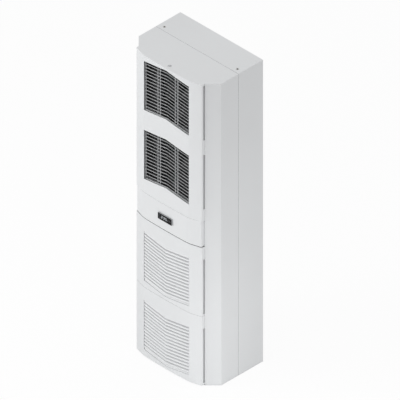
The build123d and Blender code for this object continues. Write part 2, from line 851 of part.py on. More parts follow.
# Blower: motor on the partition, radial impeller, and the plate that leads the air into it
y_flange = inner_back - plate_wall
y_inlet_plate = y_flange - plate_wall
y_blade_end = y_inlet_plate - blower_inlet_gap
y_backplate = y_blade_end - blower_width
y_blower_motor = y_cold + blower_motor_flange_wall
with BuildPart() as blower_motor:
    with BuildSketch(facing(y_blower_motor)):
        with Locations((0, inlet_middle)):
            Rectangle(blower_motor_flange, blower_motor_flange)
    extrude(amount=blower_motor_flange_wall)
    with BuildSketch(facing(y_backplate - blower_gap)):
        with Locations((0, inlet_middle)):
            Circle(blower_motor_radius)
    extrude(amount=y_backplate - blower_gap - y_blower_motor)
    with BuildSketch(facing(y_backplate + blower_hub_depth)):
        with Locations((0, inlet_middle)):
            Circle(blower_spindle_radius)
    extrude(amount=blower_gap + blower_hub_depth)
save(blower_motor, "blower_motor")

with BuildPart() as blower_impeller:
    with BuildSketch(facing(y_blade_end)):
        with Locations((0, inlet_middle)):
            for blade in range(blower_blades):
                turn = Rot(0, 0, blade * 360 / blower_blades)
                root = turn * Pos(blower_blade_root, 0) * Rot(0, 0, -blower_blade_lean)
                with Locations(root):
                    Rectangle(
                        blower_radius - blower_blade_root - blower_plate,
                        blower_blade_wall,
                        align=(Align.MIN, Align.CENTER),
                    )
    extrude(amount=blower_width - blower_plate)
    with BuildSketch(facing(y_backplate + blower_plate)):
        with Locations((0, inlet_middle)):
            Circle(blower_radius)
            Circle(blower_spindle_radius + running_gap, mode=Mode.SUBTRACT)
    extrude(amount=blower_plate)
    with BuildSketch(facing(y_backplate + blower_hub_depth)):
        with Locations((0, inlet_middle)):
            RegularPolygon(blower_spindle_radius * 2, 6)
            Circle(blower_spindle_radius + running_gap, mode=Mode.SUBTRACT)
    extrude(amount=blower_hub_depth - blower_plate)
save(blower_impeller, "blower_impeller")

with BuildPart() as inlet_plate:
    with BuildSketch(facing(y_flange)):
        with Locations((0, inlet_middle)):
            Rectangle(inlet_width + 2 * grille_flange, inlet_height + 2 * grille_flange)
            Circle(blower_eye, mode=Mode.SUBTRACT)
    extrude(amount=plate_wall)
save(inlet_plate, "inlet_plate")


def grille(middle, across, tall, columns):
    """A grille that sits in an opening of the back, with a flange behind it and level slots."""
    slot = (across - grille_rib * (columns + 1)) / columns
    rows = int((tall - grille_rib) / grille_pitch)
    with BuildPart() as form:
        with BuildSketch(facing(inner_back)):
            with Locations((0, middle)):
                Rectangle(across + 2 * grille_flange, tall + 2 * grille_flange)
        extrude(amount=plate_wall)
        with BuildSketch(facing(y_back)):
            with Locations((0, middle)):
                Rectangle(across - 2 * fit_gap, tall - 2 * fit_gap)
        extrude(amount=sheet)
        with BuildSketch(facing(y_back)):
            with Locations((0, middle)):
                with GridLocations(slot + grille_rib, grille_pitch, columns, rows):
                    Rectangle(slot, grille_slot)
        extrude(amount=sheet + plate_wall, mode=Mode.SUBTRACT)
    return form.part


with BuildPart() as warm_air_grille:
    add(grille(inlet_middle, inlet_width, inlet_height, 1))
save(warm_air_grille, "warm_air_grille")

with BuildPart() as cold_air_grille:
    add(grille(outlet_middle, outlet_width, outlet_height, 2))
save(cold_air_grille, "cold_air_grille")

# Compressor: shell with a coned top on a foot plate, with its accumulator held by a strap
foot_base = sheet + pad_height
shell_base = foot_base + foot_wall
shell_top = shell_base + compressor_height + compressor_cap_height
accumulator_x = -header_x
strap_x = (accumulator_x + compressor_x) / 2
strap_y = (compressor_y + line_y) / 2
with BuildPart() as compressor:
    with Locations((compressor_x, compressor_y, shell_base)):
        Cylinder(compressor_radius, compressor_height, align=BASE)
    with Locations((compressor_x, compressor_y, shell_base + compressor_height)):
        Cylinder(compressor_cap_radius, compressor_cap_height, align=BASE)
    with BuildSketch(level(foot_base)):
        with Locations((compressor_x, compressor_y)):
            Rectangle(
                2 * foot_half_width + 2 * foot_margin,
                2 * foot_half_depth + 2 * foot_margin,
            )
    extrude(amount=foot_wall)
    with Locations((accumulator_x, line_y, accumulator_base)):
        Cylinder(accumulator_radius, accumulator_height, align=BASE)
    with Locations((strap_x, strap_y, accumulator_base + accumulator_height / 2)):
        Box(compressor_x - accumulator_x, accumulator_radius, strap_height)
save(compressor, "compressor")

with BuildPart() as compressor_pads:
    with BuildSketch(level(sheet)):
        with Locations((compressor_x, compressor_y)):
            with GridLocations(2 * foot_half_width, 2 * foot_half_depth, 2, 2):
                Rectangle(pad_side, pad_side)
    extrude(amount=pad_height)
save(compressor_pads, "compressor_pads")


def tube(*points):
    """A line of round tube with a corner at each inner point."""
    with BuildPart() as form:
        with BuildLine(Plane.XY) as run:
            Polyline(*points)
        with BuildSketch(Plane(points[0], z_dir=run.line % 0)):
            Circle(line_radius)
        sweep(path=run.line, transition=Transition.RIGHT)
    return form.part


# Refrigerant lines
y_header_rear = y_header + header / 2
accumulator_top = accumulator_base + accumulator_height
with BuildPart() as suction_line:
    with Locations((-header_x, line_y, accumulator_top)):
        Cylinder(line_radius, header_foot - accumulator_top, align=BASE)
save(suction_line, "suction_line")

with BuildPart() as discharge_line:
    add(
        tube(
            (compressor_x, compressor_y, shell_top),
            (compressor_x, compressor_y, discharge_level),
            (compressor_x, discharge_y, discharge_level),
            (-header_x, discharge_y, discharge_level),
            (-header_x, y_header_rear, discharge_level),
        )
    )
save(discharge_line, "discharge_line")

with BuildPart() as liquid_line:
    add(
        tube(
            (header_x, y_header_rear, liquid_level),
            (header_x, line_y, liquid_level),
            (header_x, line_y, drier_base),
        )
    )
    with BuildSketch(level(drier_base + drier_length)):
        with Locations((header_x, line_y)):
            Circle(line_radius)
    extrude(amount=header_foot - drier_base - drier_length)
save(liquid_line, "liquid_line")

with BuildPart() as filter_drier:
    with BuildSketch(level(drier_base)):
        with Locations((header_x, line_y)):
            Circle(drier_radius)
    extrude(amount=drier_length)
save(filter_drier, "filter_drier")

# Electrical box behind the controller, open to the front
y_box = inner_face + box_depth
with BuildPart() as electrical_box:
    with BuildSketch(facing(y_box)):
        with Locations((0, z_controller)):
            Rectangle(box_width, box_height)
    extrude(amount=box_depth)
    with BuildSketch(facing(y_box - box_sheet)):
        with Locations((0, z_controller)):
            Rectangle(box_width - 2 * box_sheet, box_height - 2 * box_sheet)
    extrude(amount=box_depth, mode=Mode.SUBTRACT)
save(electrical_box, "electrical_box")

y_box_floor = y_box - box_sheet
z_terminal = z_controller + terminal_over_controller
z_device = z_controller - devices_under_controller
with BuildPart() as terminal_block:
    with BuildSketch(facing(y_box_floor)):
        with Locations((terminal_x, z_terminal)):
            Rectangle(terminal_width, terminal_height)
    extrude(amount=terminal_depth)
    with BuildSketch(facing(y_box_floor - terminal_depth)):
        with Locations((terminal_x, z_terminal)):
            with GridLocations(terminal_pitch, 1, terminal_count, 1):
                Rectangle(terminal_slot, terminal_height / 2)
    extrude(amount=-terminal_slot_depth, mode=Mode.SUBTRACT)
save(terminal_block, "terminal_block")

with BuildPart() as contactor:
    with BuildSketch(facing(y_box_floor)):
        with Locations((contactor_x, z_device)):
            Rectangle(contactor_width, contactor_height)
    extrude(amount=contactor_depth)
    with BuildSketch(facing(y_box_floor - contactor_depth)):
        with Locations((contactor_x, z_device)):
            Rectangle(contactor_width - contactor_step, contactor_height - 2 * contactor_step)
    extrude(amount=contactor_step_depth)
save(contactor, "contactor")

with BuildPart() as capacitor:
    with BuildSketch(facing(y_box_floor)):
        with Locations((capacitor_x, z_device)):
            Rectangle(capacitor_width, capacitor_height)
    extrude(amount=capacitor_depth)
save(capacitor, "capacitor")

# Controller: body behind the display panel, bezel on its front, film and two keys
with BuildPart() as controller_body:
    with BuildSketch(facing(y_crown)):
        with Locations((0, z_controller)):
            Rectangle(controller_width, controller_height)
    extrude(amount=-controller_depth)
save(controller_body, "controller_body")

film_width = bezel_width - 2 * bezel_rim
film_height = bezel_height - 2 * bezel_rim
y_film = y_bezel + film_recess
y_film_rear = y_film + film_thickness
key_pocket = key_flange_wall + key_travel + fit_gap
key_seats = [(x, z_controller) for x in key_positions]
with BuildPart() as controller_bezel:
    with BuildSketch(facing(y_crown)):
        with Locations((0, z_controller)):
            Rectangle(bezel_width, bezel_height)
    extrude(amount=bezel_stand)
    chamfer(controller_bezel.edges().filter_by(Axis.Y), length=bezel_corner)
    with BuildSketch(facing(y_film_rear)):
        with Locations((0, z_controller)):
            Rectangle(film_width + 2 * running_gap, film_height + 2 * running_gap)
    extrude(amount=film_recess + film_thickness, mode=Mode.SUBTRACT)
    with BuildSketch(facing(y_film_rear + key_pocket)):
        with Locations(*key_seats):
            Rectangle(
                key_width + 2 * key_flange + 2 * fit_gap,
                key_height + 2 * key_flange + 2 * fit_gap,
            )
    extrude(amount=key_pocket, mode=Mode.SUBTRACT)
save(controller_bezel, "controller_bezel")

with BuildPart() as display_film:
    with BuildSketch(facing(y_film_rear)):
        with Locations((0, z_controller)):
            Rectangle(film_width, film_height)
        with Locations(*key_seats):
            Rectangle(
                key_width + 2 * key_clearance,
                key_height + 2 * key_clearance,
                mode=Mode.SUBTRACT,
            )
    extrude(amount=film_thickness)
save(display_film, "display_film")

for name, seat in zip(("key_down", "key_up"), key_seats):
    with BuildPart() as key:
        with BuildSketch(facing(y_film_rear + running_gap + key_flange_wall)):
            with Locations(seat):
                Rectangle(key_width + 2 * key_flange, key_height + 2 * key_flange)
        extrude(amount=key_flange_wall)
        with BuildSketch(facing(y_film_rear + running_gap)):
            with Locations(seat):
                Rectangle(key_width, key_height)
        extrude(amount=running_gap + film_thickness + key_stand)
    save(key, name)

# Quarter turn fastener: head flush in the cover's boss, cross bar under the tongue
boss_floor = height - latch_boss_height
tongue_base = boss_floor - fit_gap - sheet
with BuildPart() as quarter_turn:
    with Locations((0, y_latch, height)):
        Cylinder(latch_radius, latch_head, align=TOP)
        Cylinder(latch_shank, height - tongue_base + fit_gap, align=TOP)
        with Locations((0, 0, tongue_base - height - fit_gap)):
            Box(latch_bar_width, latch_bar_length, latch_bar_height, align=TOP)
        Box(slot_width, latch_radius * 1.5, slot_depth, align=TOP, mode=Mode.SUBTRACT)
save(quarter_turn, "quarter_turn")

with BuildPart() as latch_tongue:
    with BuildSketch(level(tongue_base)):
        with Locations((0, y_face - latch_tongue_depth / 2)):
            Rectangle(latch_tongue_width, latch_tongue_depth)
        with Locations((0, y_latch)):
            Rectangle(
                latch_bar_length + 2 * latch_slot_gap,
                latch_bar_width + 2 * latch_shank,
                mode=Mode.SUBTRACT,
            )
    extrude(amount=sheet)
    with BuildSketch(facing(y_face)):
        with Locations((0, tongue_base)):
            Rectangle(latch_tongue_width, latch_tongue_drop, align=(Align.CENTER, Align.MAX))
    extrude(amount=sheet)
save(latch_tongue, "latch_tongue")

# Threaded inserts of the lifting eyes and of the mounting screws
with BuildPart() as lifting_inserts:
    with BuildSketch(level(height)):
        with Locations((0, y_seam + lifting_behind_seam)):
            with GridLocations(width - 2 * lifting_inset, 1, 2, 1):
                RegularPolygon(lifting_across / 2, 6, major_radius=False)
    extrude(amount=-insert_length)
    with BuildSketch(level(height)):
        with Locations((0, y_seam + lifting_behind_seam)):
            with GridLocations(width - 2 * lifting_inset, 1, 2, 1):
                Circle(lifting_bore)
    extrude(amount=sheet - insert_length, mode=Mode.SUBTRACT)
save(lifting_inserts, "lifting_inserts")

with BuildPart() as mounting_inserts:
    with BuildSketch(facing(y_back)):
        with Locations((0, height / 2)):
            with GridLocations(width - 2 * mount_inset, mount_spacing, 2, mount_rows):
                RegularPolygon(insert_across / 2, 6, major_radius=False)
    extrude(amount=insert_length)
    with BuildSketch(facing(y_back)):
        with Locations((0, height / 2)):
            with GridLocations(width - 2 * mount_inset, mount_spacing, 2, mount_rows):
                Circle(insert_bore)
    extrude(amount=insert_length - sheet, mode=Mode.SUBTRACT)
save(mounting_inserts, "mounting_inserts")

# Gasket round the back as four butted strips, and the rubber entry of the cable
gasket_width = width - 2 * gasket_inset
gasket_height = height - 2 * gasket_inset
with BuildPart() as rear_gasket:
    with Locations((0, y_back, height / 2)):
        with GridLocations(gasket_width - gasket_band, 1, 2, 1):
            Box(
                gasket_band,
                gasket_thickness,
                gasket_height,
                align=(Align.CENTER, Align.MIN, Align.CENTER),
            )
    for z in (gasket_inset, height - gasket_inset - gasket_band):
        with Locations((0, y_back, z)):
            Box(
                gasket_width - 2 * gasket_band,
                gasket_thickness,
                gasket_band,
                align=(Align.CENTER, Align.MIN, Align.MIN),
            )
save(rear_gasket, "rear_gasket")

with BuildPart() as cable_entry:
    with BuildSketch(facing(y_back + sheet)):
        with Locations((cable_x, cable_z)):
            Rectangle(entry_width + 2 * entry_rim, entry_height + 2 * entry_rim)
    extrude(amount=sheet)
    with BuildSketch(facing(y_back)):
        with Locations((cable_x, cable_z)):
            Rectangle(entry_width - 2 * running_gap, entry_height - 2 * running_gap)
    extrude(amount=2 * sheet)
    with BuildSketch(facing(y_back + sheet)):
        with Locations((cable_x, cable_z)):
            Circle(entry_bore)
    extrude(amount=3 * sheet, mode=Mode.SUBTRACT)
save(cable_entry, "cable_entry")
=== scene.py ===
# %% [markdown]
# # Enclosure air conditioner
# A tall cooling unit that hangs on the outside of a control cabinet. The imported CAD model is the
# frame: every piece made here sits in the same place, in metres, and rides on one of its bodies.

# %% Load the frame
import json
import math
from functools import partial

import bmesh
import bpy
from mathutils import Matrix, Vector


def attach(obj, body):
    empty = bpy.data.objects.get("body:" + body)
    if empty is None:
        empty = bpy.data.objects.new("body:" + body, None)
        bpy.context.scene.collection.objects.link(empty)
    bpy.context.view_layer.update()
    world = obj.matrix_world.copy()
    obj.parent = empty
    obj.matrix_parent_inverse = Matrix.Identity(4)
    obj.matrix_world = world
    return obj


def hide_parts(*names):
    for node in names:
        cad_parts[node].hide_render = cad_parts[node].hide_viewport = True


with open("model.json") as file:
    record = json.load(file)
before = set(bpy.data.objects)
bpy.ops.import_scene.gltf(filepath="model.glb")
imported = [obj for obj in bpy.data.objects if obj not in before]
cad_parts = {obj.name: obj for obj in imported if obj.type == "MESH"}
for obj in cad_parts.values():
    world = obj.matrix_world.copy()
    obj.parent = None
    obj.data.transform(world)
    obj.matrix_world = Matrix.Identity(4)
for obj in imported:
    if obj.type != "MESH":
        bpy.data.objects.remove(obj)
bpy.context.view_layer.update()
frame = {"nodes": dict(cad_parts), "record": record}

MM = 0.001
scene = bpy.context.scene
scene.view_settings.view_transform = "Standard"
slot_of = {row["node"]: row["material_slot"] for row in frame["record"]["subparts"]}

# %% [markdown]
# ## Camera
# Product pictures of cabinets are often drawn without perspective, so that upright edges stay
# parallel. A perspective camera with a very long lens comes close, but its edges still meet. An
# orthographic camera at 45 degrees round and 35.26 degrees up shows all three axes equally
# short. Its scale is what the picture's height covers, here 1.66 m for 400 pixels.

# %% Place an isometric camera
AROUND = math.radians(45)
ABOVE = math.radians(35.264)
PIXELS = 400
MM_PER_PIXEL = 4.15
CAMERA_DISTANCE = 6
CAMERA_REACH = 30
to_camera = Vector(
    (math.sin(AROUND) * math.cos(ABOVE), -math.cos(AROUND) * math.cos(ABOVE), math.sin(ABOVE))
)
camera_right = Vector((math.cos(AROUND), math.sin(AROUND), 0))
camera_up = to_camera.cross(camera_right)

# The top edge of the flat front, in the middle, and where it lies in the picture
FRONT_EDGE = Vector((0, -127.65, 1532)) * MM
EDGE_IN_PICTURE = (171.85, 64.75)
aim = (
    FRONT_EDGE
    + camera_right * (PIXELS / 2 - EDGE_IN_PICTURE[0]) * MM_PER_PIXEL * MM
    - camera_up * (PIXELS / 2 - EDGE_IN_PICTURE[1]) * MM_PER_PIXEL * MM
)
camera = bpy.data.objects.new("camera", bpy.data.cameras.new("camera"))
camera.data.type = "ORTHO"
camera.data.ortho_scale = PIXELS * MM_PER_PIXEL * MM
camera.data.clip_end = CAMERA_REACH
camera.location = aim + to_camera * CAMERA_DISTANCE
camera.rotation_euler = to_camera.to_track_quat("Z", "Y").to_euler()
scene.collection.objects.link(camera)
scene.camera = camera
print("camera aims at", tuple(round(v, 3) for v in aim))

# %% [markdown]
# ## Building node trees
# Materials and Geometry Nodes are both trees of nodes. They can be drawn by hand in Blender's
# editors, but a script shows every value. A few short helpers keep it readable: two make a node
# and plug in its inputs, one does arithmetic, one joins three numbers to a vector, one makes an
# empty group with named sockets, and one puts a finished group into another tree.

# %% Helpers for node trees
FLOAT, COLOUR, SHAPE = "NodeSocketFloat", "NodeSocketColor", "NodeSocketGeometry"
WHOLE, VECTOR, MATERIAL = "NodeSocketInt", "NodeSocketVector", "NodeSocketMaterial"


def node(tree, kind, inputs=None, **settings):
    """A new node. An input is given a value, or the socket that feeds it."""
    made = tree.nodes.new(kind)
    for name, value in settings.items():
        setattr(made, name, value)
    for name, value in (inputs or {}).items():
        if isinstance(value, bpy.types.NodeSocket):
            tree.links.new(value, made.inputs[name])
        else:
            made.inputs[name].default_value = value
    return made


def result(tree, kind, inputs, **settings):
    """What a new node puts out first."""
    return node(tree, kind, inputs, **settings).outputs[0]


def maths(tree, operation, a, b=0.0, c=0.0):
    """The result of one arithmetic step."""
    return result(tree, "ShaderNodeMath", {0: a, 1: b, 2: c}, operation=operation)


def point(tree, x=0.0, y=0.0, z=0.0):
    """A vector socket from three numbers or sockets."""
    return result(tree, "ShaderNodeCombineXYZ", {"X": x, "Y": y, "Z": z})


def group_of(kind, name, inputs, outputs):
    """A node group with its sockets, and its two end nodes."""
    tree = bpy.data.node_groups.new(name, kind)
    for label, socket, value in inputs:
        made = tree.interface.new_socket(label, in_out="INPUT", socket_type=socket)
        if value is not None:
            made.default_value = value
    for label, socket in outputs:
        tree.interface.new_socket(label, in_out="OUTPUT", socket_type=socket)
    return tree, tree.nodes.new("NodeGroupInput"), tree.nodes.new("NodeGroupOutput")


def use(tree, group, inputs):
    """A finished group placed in a material's tree with that material's own values."""
    made = tree.nodes.new("ShaderNodeGroup")
    made.node_tree = group
    for name, value in inputs.items():
        made.inputs[name].default_value = value
    return made


print("node helpers ready")

# %% [markdown]
# ## Surface effects
# Powder coat isn't smooth: it dries as a very fine orange peel, and a large panel is never one
# even tone. Zinc has drawn streaks or spangles, foam has cells. Pictures could carry all of this,
# but they blur when one looks closely. Here it comes from noise on Object coordinates, which are
# metres on every piece, so the scale is real. The groups put out colours, masks and heights only,
# and each material places them with its own values.


# %% What several effects share
def object_place(tree):
    """Object coordinates, which are metres from the machine's origin."""
    return node(tree, "ShaderNodeTexCoord").outputs["Object"]


def darkened(tree, colour, share):
    """A colour multiplied by a share from 0 to 1."""
    mix = node(
        tree,
        "ShaderNodeMix",
        {0: 1.0, 6: colour, 7: share},
        data_type="RGBA",
        blend_type="MULTIPLY",
    )
    return mix.outputs[2]


print("effect helpers ready")

# %% Group: tone that drifts slowly over a panel
drift, drift_in, drift_out = group_of(
    "ShaderNodeTree",
    "tone_drift",
    [("Colour", COLOUR, (0.8, 0.8, 0.8, 1)), ("Scale", FLOAT, 3.0), ("Amount", FLOAT, 0.04)],
    [("Colour", COLOUR), ("Mask", FLOAT)],
)
cloud = result(
    drift,
    "ShaderNodeTexNoise",
    {"Vector": object_place(drift), "Scale": drift_in.outputs["Scale"], "Detail": 3.0},
)
spread = result(
    drift,
    "ShaderNodeMapRange",
    {
        "Value": cloud,
        "From Min": 0.3,
        "From Max": 0.7,
        "To Min": maths(drift, "SUBTRACT", 1.0, drift_in.outputs["Amount"]),
        "To Max": 1.0,
    },
)
drifting = darkened(drift, drift_in.outputs["Colour"], spread)
drift.links.new(drifting, drift_out.inputs["Colour"])
drift.links.new(cloud, drift_out.inputs["Mask"])
print("group", drift.name, "made")

# %% Group: orange peel of a coated or moulded surface
peel, peel_in, peel_out = group_of(
    "ShaderNodeTree",
    "orange_peel",
    [("Scale", FLOAT, 900.0), ("Fineness", FLOAT, 0.5)],
    [("Height", FLOAT)],
)
bumps = result(
    peel,
    "ShaderNodeTexNoise",
    {
        "Vector": object_place(peel),
        "Scale": peel_in.outputs["Scale"],
        "Detail": 2.0,
        "Roughness": peel_in.outputs["Fineness"],
    },
)
peel.links.new(bumps, peel_out.inputs["Height"])
print("group", peel.name, "made")

# %% Group: streaks of drawn or rolled metal
streaks, streaks_in, streaks_out = group_of(
    "ShaderNodeTree",
    "drawn_streaks",
    [("Across", FLOAT, 600.0), ("Along", FLOAT, 8.0)],
    [("Mask", FLOAT)],
)
fine = streaks_in.outputs["Across"]
ratio = point(streaks, fine, fine, streaks_in.outputs["Along"])
stretched = result(
    streaks, "ShaderNodeMapping", {"Vector": object_place(streaks), "Scale": ratio}
)
lines = result(
    streaks,
    "ShaderNodeTexNoise",
    {"Vector": stretched, "Scale": 1.0, "Detail": 3.0, "Roughness": 0.65},
)
streaks.links.new(lines, streaks_out.inputs["Mask"])
print("group", streaks.name, "made")

# %% Group: crystals of hot dipped zinc
spangle, spangle_in, spangle_out = group_of(
    "ShaderNodeTree",
    "zinc_spangle",
    [
        ("Dark", COLOUR, (0.45, 0.47, 0.49, 1)),
        ("Light", COLOUR, (0.70, 0.72, 0.74, 1)),
        ("Scale", FLOAT, 90.0),
    ],
    [("Colour", COLOUR), ("Mask", FLOAT)],
)
crystals = node(
    spangle,
    "ShaderNodeTexVoronoi",
    {"Vector": object_place(spangle), "Scale": spangle_in.outputs["Scale"]},
)
chance = node(spangle, "ShaderNodeSeparateColor", {"Color": crystals.outputs["Color"]})
crystal_tone = node(
    spangle,
    "ShaderNodeMix",
    {0: chance.outputs[0], 6: spangle_in.outputs["Dark"], 7: spangle_in.outputs["Light"]},
    data_type="RGBA",
)
spangle.links.new(crystal_tone.outputs[2], spangle_out.inputs["Colour"])
spangle.links.new(chance.outputs[1], spangle_out.inputs["Mask"])
print("group", spangle.name, "made")

# %% Group: cells of foam
cells, cells_in, cells_out = group_of(
    "ShaderNodeTree",
    "foam_cells",
    [("Scale", FLOAT, 700.0), ("Colour", COLOUR, (0.05, 0.05, 0.05, 1))],
    [("Colour", COLOUR), ("Height", FLOAT)],
)
pores = node(
    cells,
    "ShaderNodeTexVoronoi",
    {"Vector": object_place(cells), "Scale": cells_in.outputs["Scale"]},
    feature="DISTANCE_TO_EDGE",
)
cell_wall = result(
    cells,
    "ShaderNodeMapRange",
    {
        "Value": pores.outputs["Distance"],
        "From Min": 0.0,
        "From Max": 0.35,
        "To Min": 1.0,
        "To Max": 0.45,
    },
)
pored = darkened(cells, cells_in.outputs["Colour"], cell_wall)
cells.links.new(pored, cells_out.inputs["Colour"])
cells.links.new(cell_wall, cells_out.inputs["Height"])
print("group", cells.name, "made")

# %% [markdown]
# ## Finishes
# Each finish is one material with the Principled shader in it. Coated steel and moulded plastic
# differ in how coarse their peel is and how much they shine, so one function makes all of them.
# Values that are the same all over, such as a clear coat, are set on the shader itself.

# %% Start a material
finishes = {}


def start(name):
    """A new material, with its tree and its Principled shader."""
    made = bpy.data.materials.new(name)
    made.use_nodes = True
    finishes[name] = made
    print("finish", name)
    return made.node_tree, made.node_tree.nodes["Principled BSDF"]


def raise_surface(tree, shader, height, depth, strength):
    """Turns a height into small bumps of that depth in metres."""
    bump = result(
        tree, "ShaderNodeBump", {"Height": height, "Distance": depth, "Strength": strength}
    )
    tree.links.new(bump, shader.inputs["Normal"])


def vary_roughness(tree, shader, mask, middle, spread):
    """Lets a mask move the roughness by a spread below and above its middle."""
    rough = result(
        tree,
        "ShaderNodeMapRange",
        {"Value": mask, "To Min": middle - spread, "To Max": middle + spread},
    )
    tree.links.new(rough, shader.inputs["Roughness"])


# %% Coated steel and moulded plastic
# Painted shade: narrow seams on coated and moulded faces are darkened in their colour
GAP_REACH = 0.014  # seams narrower than about this go dark
GAP_SHUT, GAP_OPEN = 0.2, 0.6  # how open a place is where it is darkest, and where it is clear
LIGHT_GREY = (0.800, 0.812, 0.822)


def painted_gap_shade(tree, colour, gap_tone):
    """A colour that falls to a given share in narrow seams: painted shade, found by ambient
    occlusion.
    """
    openness = node(tree, "ShaderNodeAmbientOcclusion", {"Distance": GAP_REACH}, samples=12)
    share = result(
        tree,
        "ShaderNodeMapRange",
        {
            "Value": openness.outputs["AO"],
            "From Min": GAP_SHUT,
            "From Max": GAP_OPEN,
            "To Min": gap_tone,
        },
    )
    return darkened(tree, colour, share)


def coated(
    name, colour, rough, grain, depth, uneven=0.03, drift_scale=2.5, coat=0.0, **extra
):
    """Paint or plastic: an even colour that drifts a little, over a fine orange peel.

    Grain is how many bumps a metre has, and depth is their height in metres. The extra values
    are gap_tone, which darkens narrow seams, and specular."""
    tree, shader = start(name)
    tone = use(tree, drift, {"Colour": (*colour, 1), "Scale": drift_scale, "Amount": uneven})
    base = tone.outputs["Colour"]
    # Painted shade in narrow seams, where a share for it is given
    if "gap_tone" in extra:
        base = painted_gap_shade(tree, base, extra["gap_tone"])
    tree.links.new(base, shader.inputs["Base Color"])
    vary_roughness(tree, shader, tone.outputs["Mask"], rough, spread=0.06)
    grains = use(tree, peel, {"Scale": grain})
    raise_surface(tree, shader, grains.outputs["Height"], depth, strength=0.5)
    shader.inputs["Specular IOR Level"].default_value = extra.get("specular", 0.5)
    shader.inputs["Coat Weight"].default_value = coat
    shader.inputs["Coat Roughness"].default_value = 0.15


# Name, colour, roughness, grain and depth, then unevenness, scale of the drift and clear coat
coated("powder_coat_grey", LIGHT_GREY, 0.52, 1100, 0.00006, gap_tone=0.05)
coated("cover_plastic_grey", LIGHT_GREY, 0.50, 1500, 0.00005, 0.02, gap_tone=0.05)
coated("louvre_plastic", (0.845, 0.855, 0.865), 0.50, 1500, 0.00004, 0.03, 6.0)
# A darker copy of the louvre plastic for the outlets: painted shade on their recessed slats
coated("louvre_plastic_shaded", (0.66, 0.67, 0.68), 0.50, 1500, 0.00004, 0.03, 6.0)
coated("bezel_plastic", (0.40, 0.41, 0.42), 0.42, 2500, 0.00003)
coated("display_black", (0.006, 0.006, 0.007), 0.34, 4000, 0.00001, 0.2, 30.0, specular=0.15)
coated("key_plastic", (0.035, 0.035, 0.038), 0.45, 3500, 0.00003, 0.1, 60.0)
coated("black_plastic", (0.022, 0.022, 0.023), 0.55, 2200, 0.00004, 0.15, 12.0)
coated("black_powder_coat", (0.020, 0.020, 0.021), 0.60, 900, 0.00006, 0.15, 6.0)
coated("motor_enamel", (0.028, 0.028, 0.030), 0.38, 500, 0.00008, 0.2, 12.0, 0.3)
coated("soft_rubber", (0.022, 0.022, 0.022), 0.78, 1800, 0.00006, 0.2, 20.0)
coated("device_plastic", (0.26, 0.27, 0.28), 0.48, 2600, 0.00003, 0.06, 20.0)

# %% [markdown]
# ## Metals
# Metals take their look from what they mirror, so their bumps and the spread of their roughness
# matter more than their colour. Rolled zinc sheet shows its crystals, turned parts fine streaks.


# %% Zinc, steel, aluminium and copper
def zinc_sheet(name, dark, light, scale):
    """Hot dipped sheet with crystals of different grey and shine."""
    tree, shader = start(name)
    shader.inputs["Metallic"].default_value = 0.85
    crystals = use(tree, spangle, {"Dark": (*dark, 1), "Light": (*light, 1), "Scale": scale})
    tree.links.new(crystals.outputs["Colour"], shader.inputs["Base Color"])
    vary_roughness(tree, shader, crystals.outputs["Mask"], 0.43, spread=0.09)
    grains = use(tree, peel, {"Scale": 500})
    raise_surface(tree, shader, grains.outputs["Height"], 0.00005, strength=0.4)


def drawn_metal(name, colour, rough, across=900.0, along=25.0, uneven=0.12):
    """Bright metal with streaks along Z, as drawn tube and rolled fins have."""
    tree, shader = start(name)
    shader.inputs["Metallic"].default_value = 1.0
    tone = use(tree, drift, {"Colour": (*colour, 1), "Scale": 14.0, "Amount": uneven})
    tree.links.new(tone.outputs["Colour"], shader.inputs["Base Color"])
    drawn = use(tree, streaks, {"Across": across, "Along": along})
    vary_roughness(tree, shader, drawn.outputs["Mask"], rough, spread=0.1)
    raise_surface(tree, shader, drawn.outputs["Mask"], 0.00002, strength=0.5)


zinc_sheet("galvanised_sheet", (0.46, 0.48, 0.50), (0.66, 0.68, 0.70), 120)
drawn_metal("zinc_plated_steel", (0.62, 0.62, 0.60), 0.32)
drawn_metal("aluminium_fins", (0.74, 0.75, 0.76), 0.36)
drawn_metal("copper_tube", (0.80, 0.42, 0.27), 0.28, 700.0, 12.0, 0.25)
drawn_metal("filter_wire", (0.55, 0.56, 0.57), 0.42, 1400.0, 200.0)


# %% Foam, print, and figures that light up
def foam_finish(name, colour, scale, rough):
    """Sealing foam: dark pores between lighter walls."""
    tree, shader = start(name)
    pores = use(tree, cells, {"Scale": scale, "Colour": (*colour, 1)})
    tree.links.new(pores.outputs["Colour"], shader.inputs["Base Color"])
    raise_surface(tree, shader, pores.outputs["Height"], 0.0002, strength=0.6)
    shader.inputs["Roughness"].default_value = rough


def printed(name, colour, scale, uneven, rough, glow=0.0):
    """Ink, or segments that glow: a thin even colour with fine patches."""
    tree, shader = start(name)
    ink = use(tree, drift, {"Colour": (*colour, 1), "Scale": scale, "Amount": uneven})
    tree.links.new(ink.outputs["Colour"], shader.inputs["Base Color"])
    if glow:
        tree.links.new(ink.outputs["Colour"], shader.inputs["Emission Color"])
        shader.inputs["Emission Strength"].default_value = glow
    shader.inputs["Roughness"].default_value = rough


foam_finish("sealing_foam", (0.050, 0.050, 0.052), 700, 0.85)
printed("lit_figures", (0.62, 0.65, 0.68), 200.0, 0.15, 0.4, glow=0.35)
printed("printed_marks", (0.30, 0.31, 0.33), 300.0, 0.2, 0.55)
print(len(finishes), "finishes")

# %% [markdown]
# ## Finishes on the CAD nodes
# Most nodes have the right shape already and need only a finish. Each could be given one by its
# name, but the record's material slots already group them, so one table from slot to finish does.

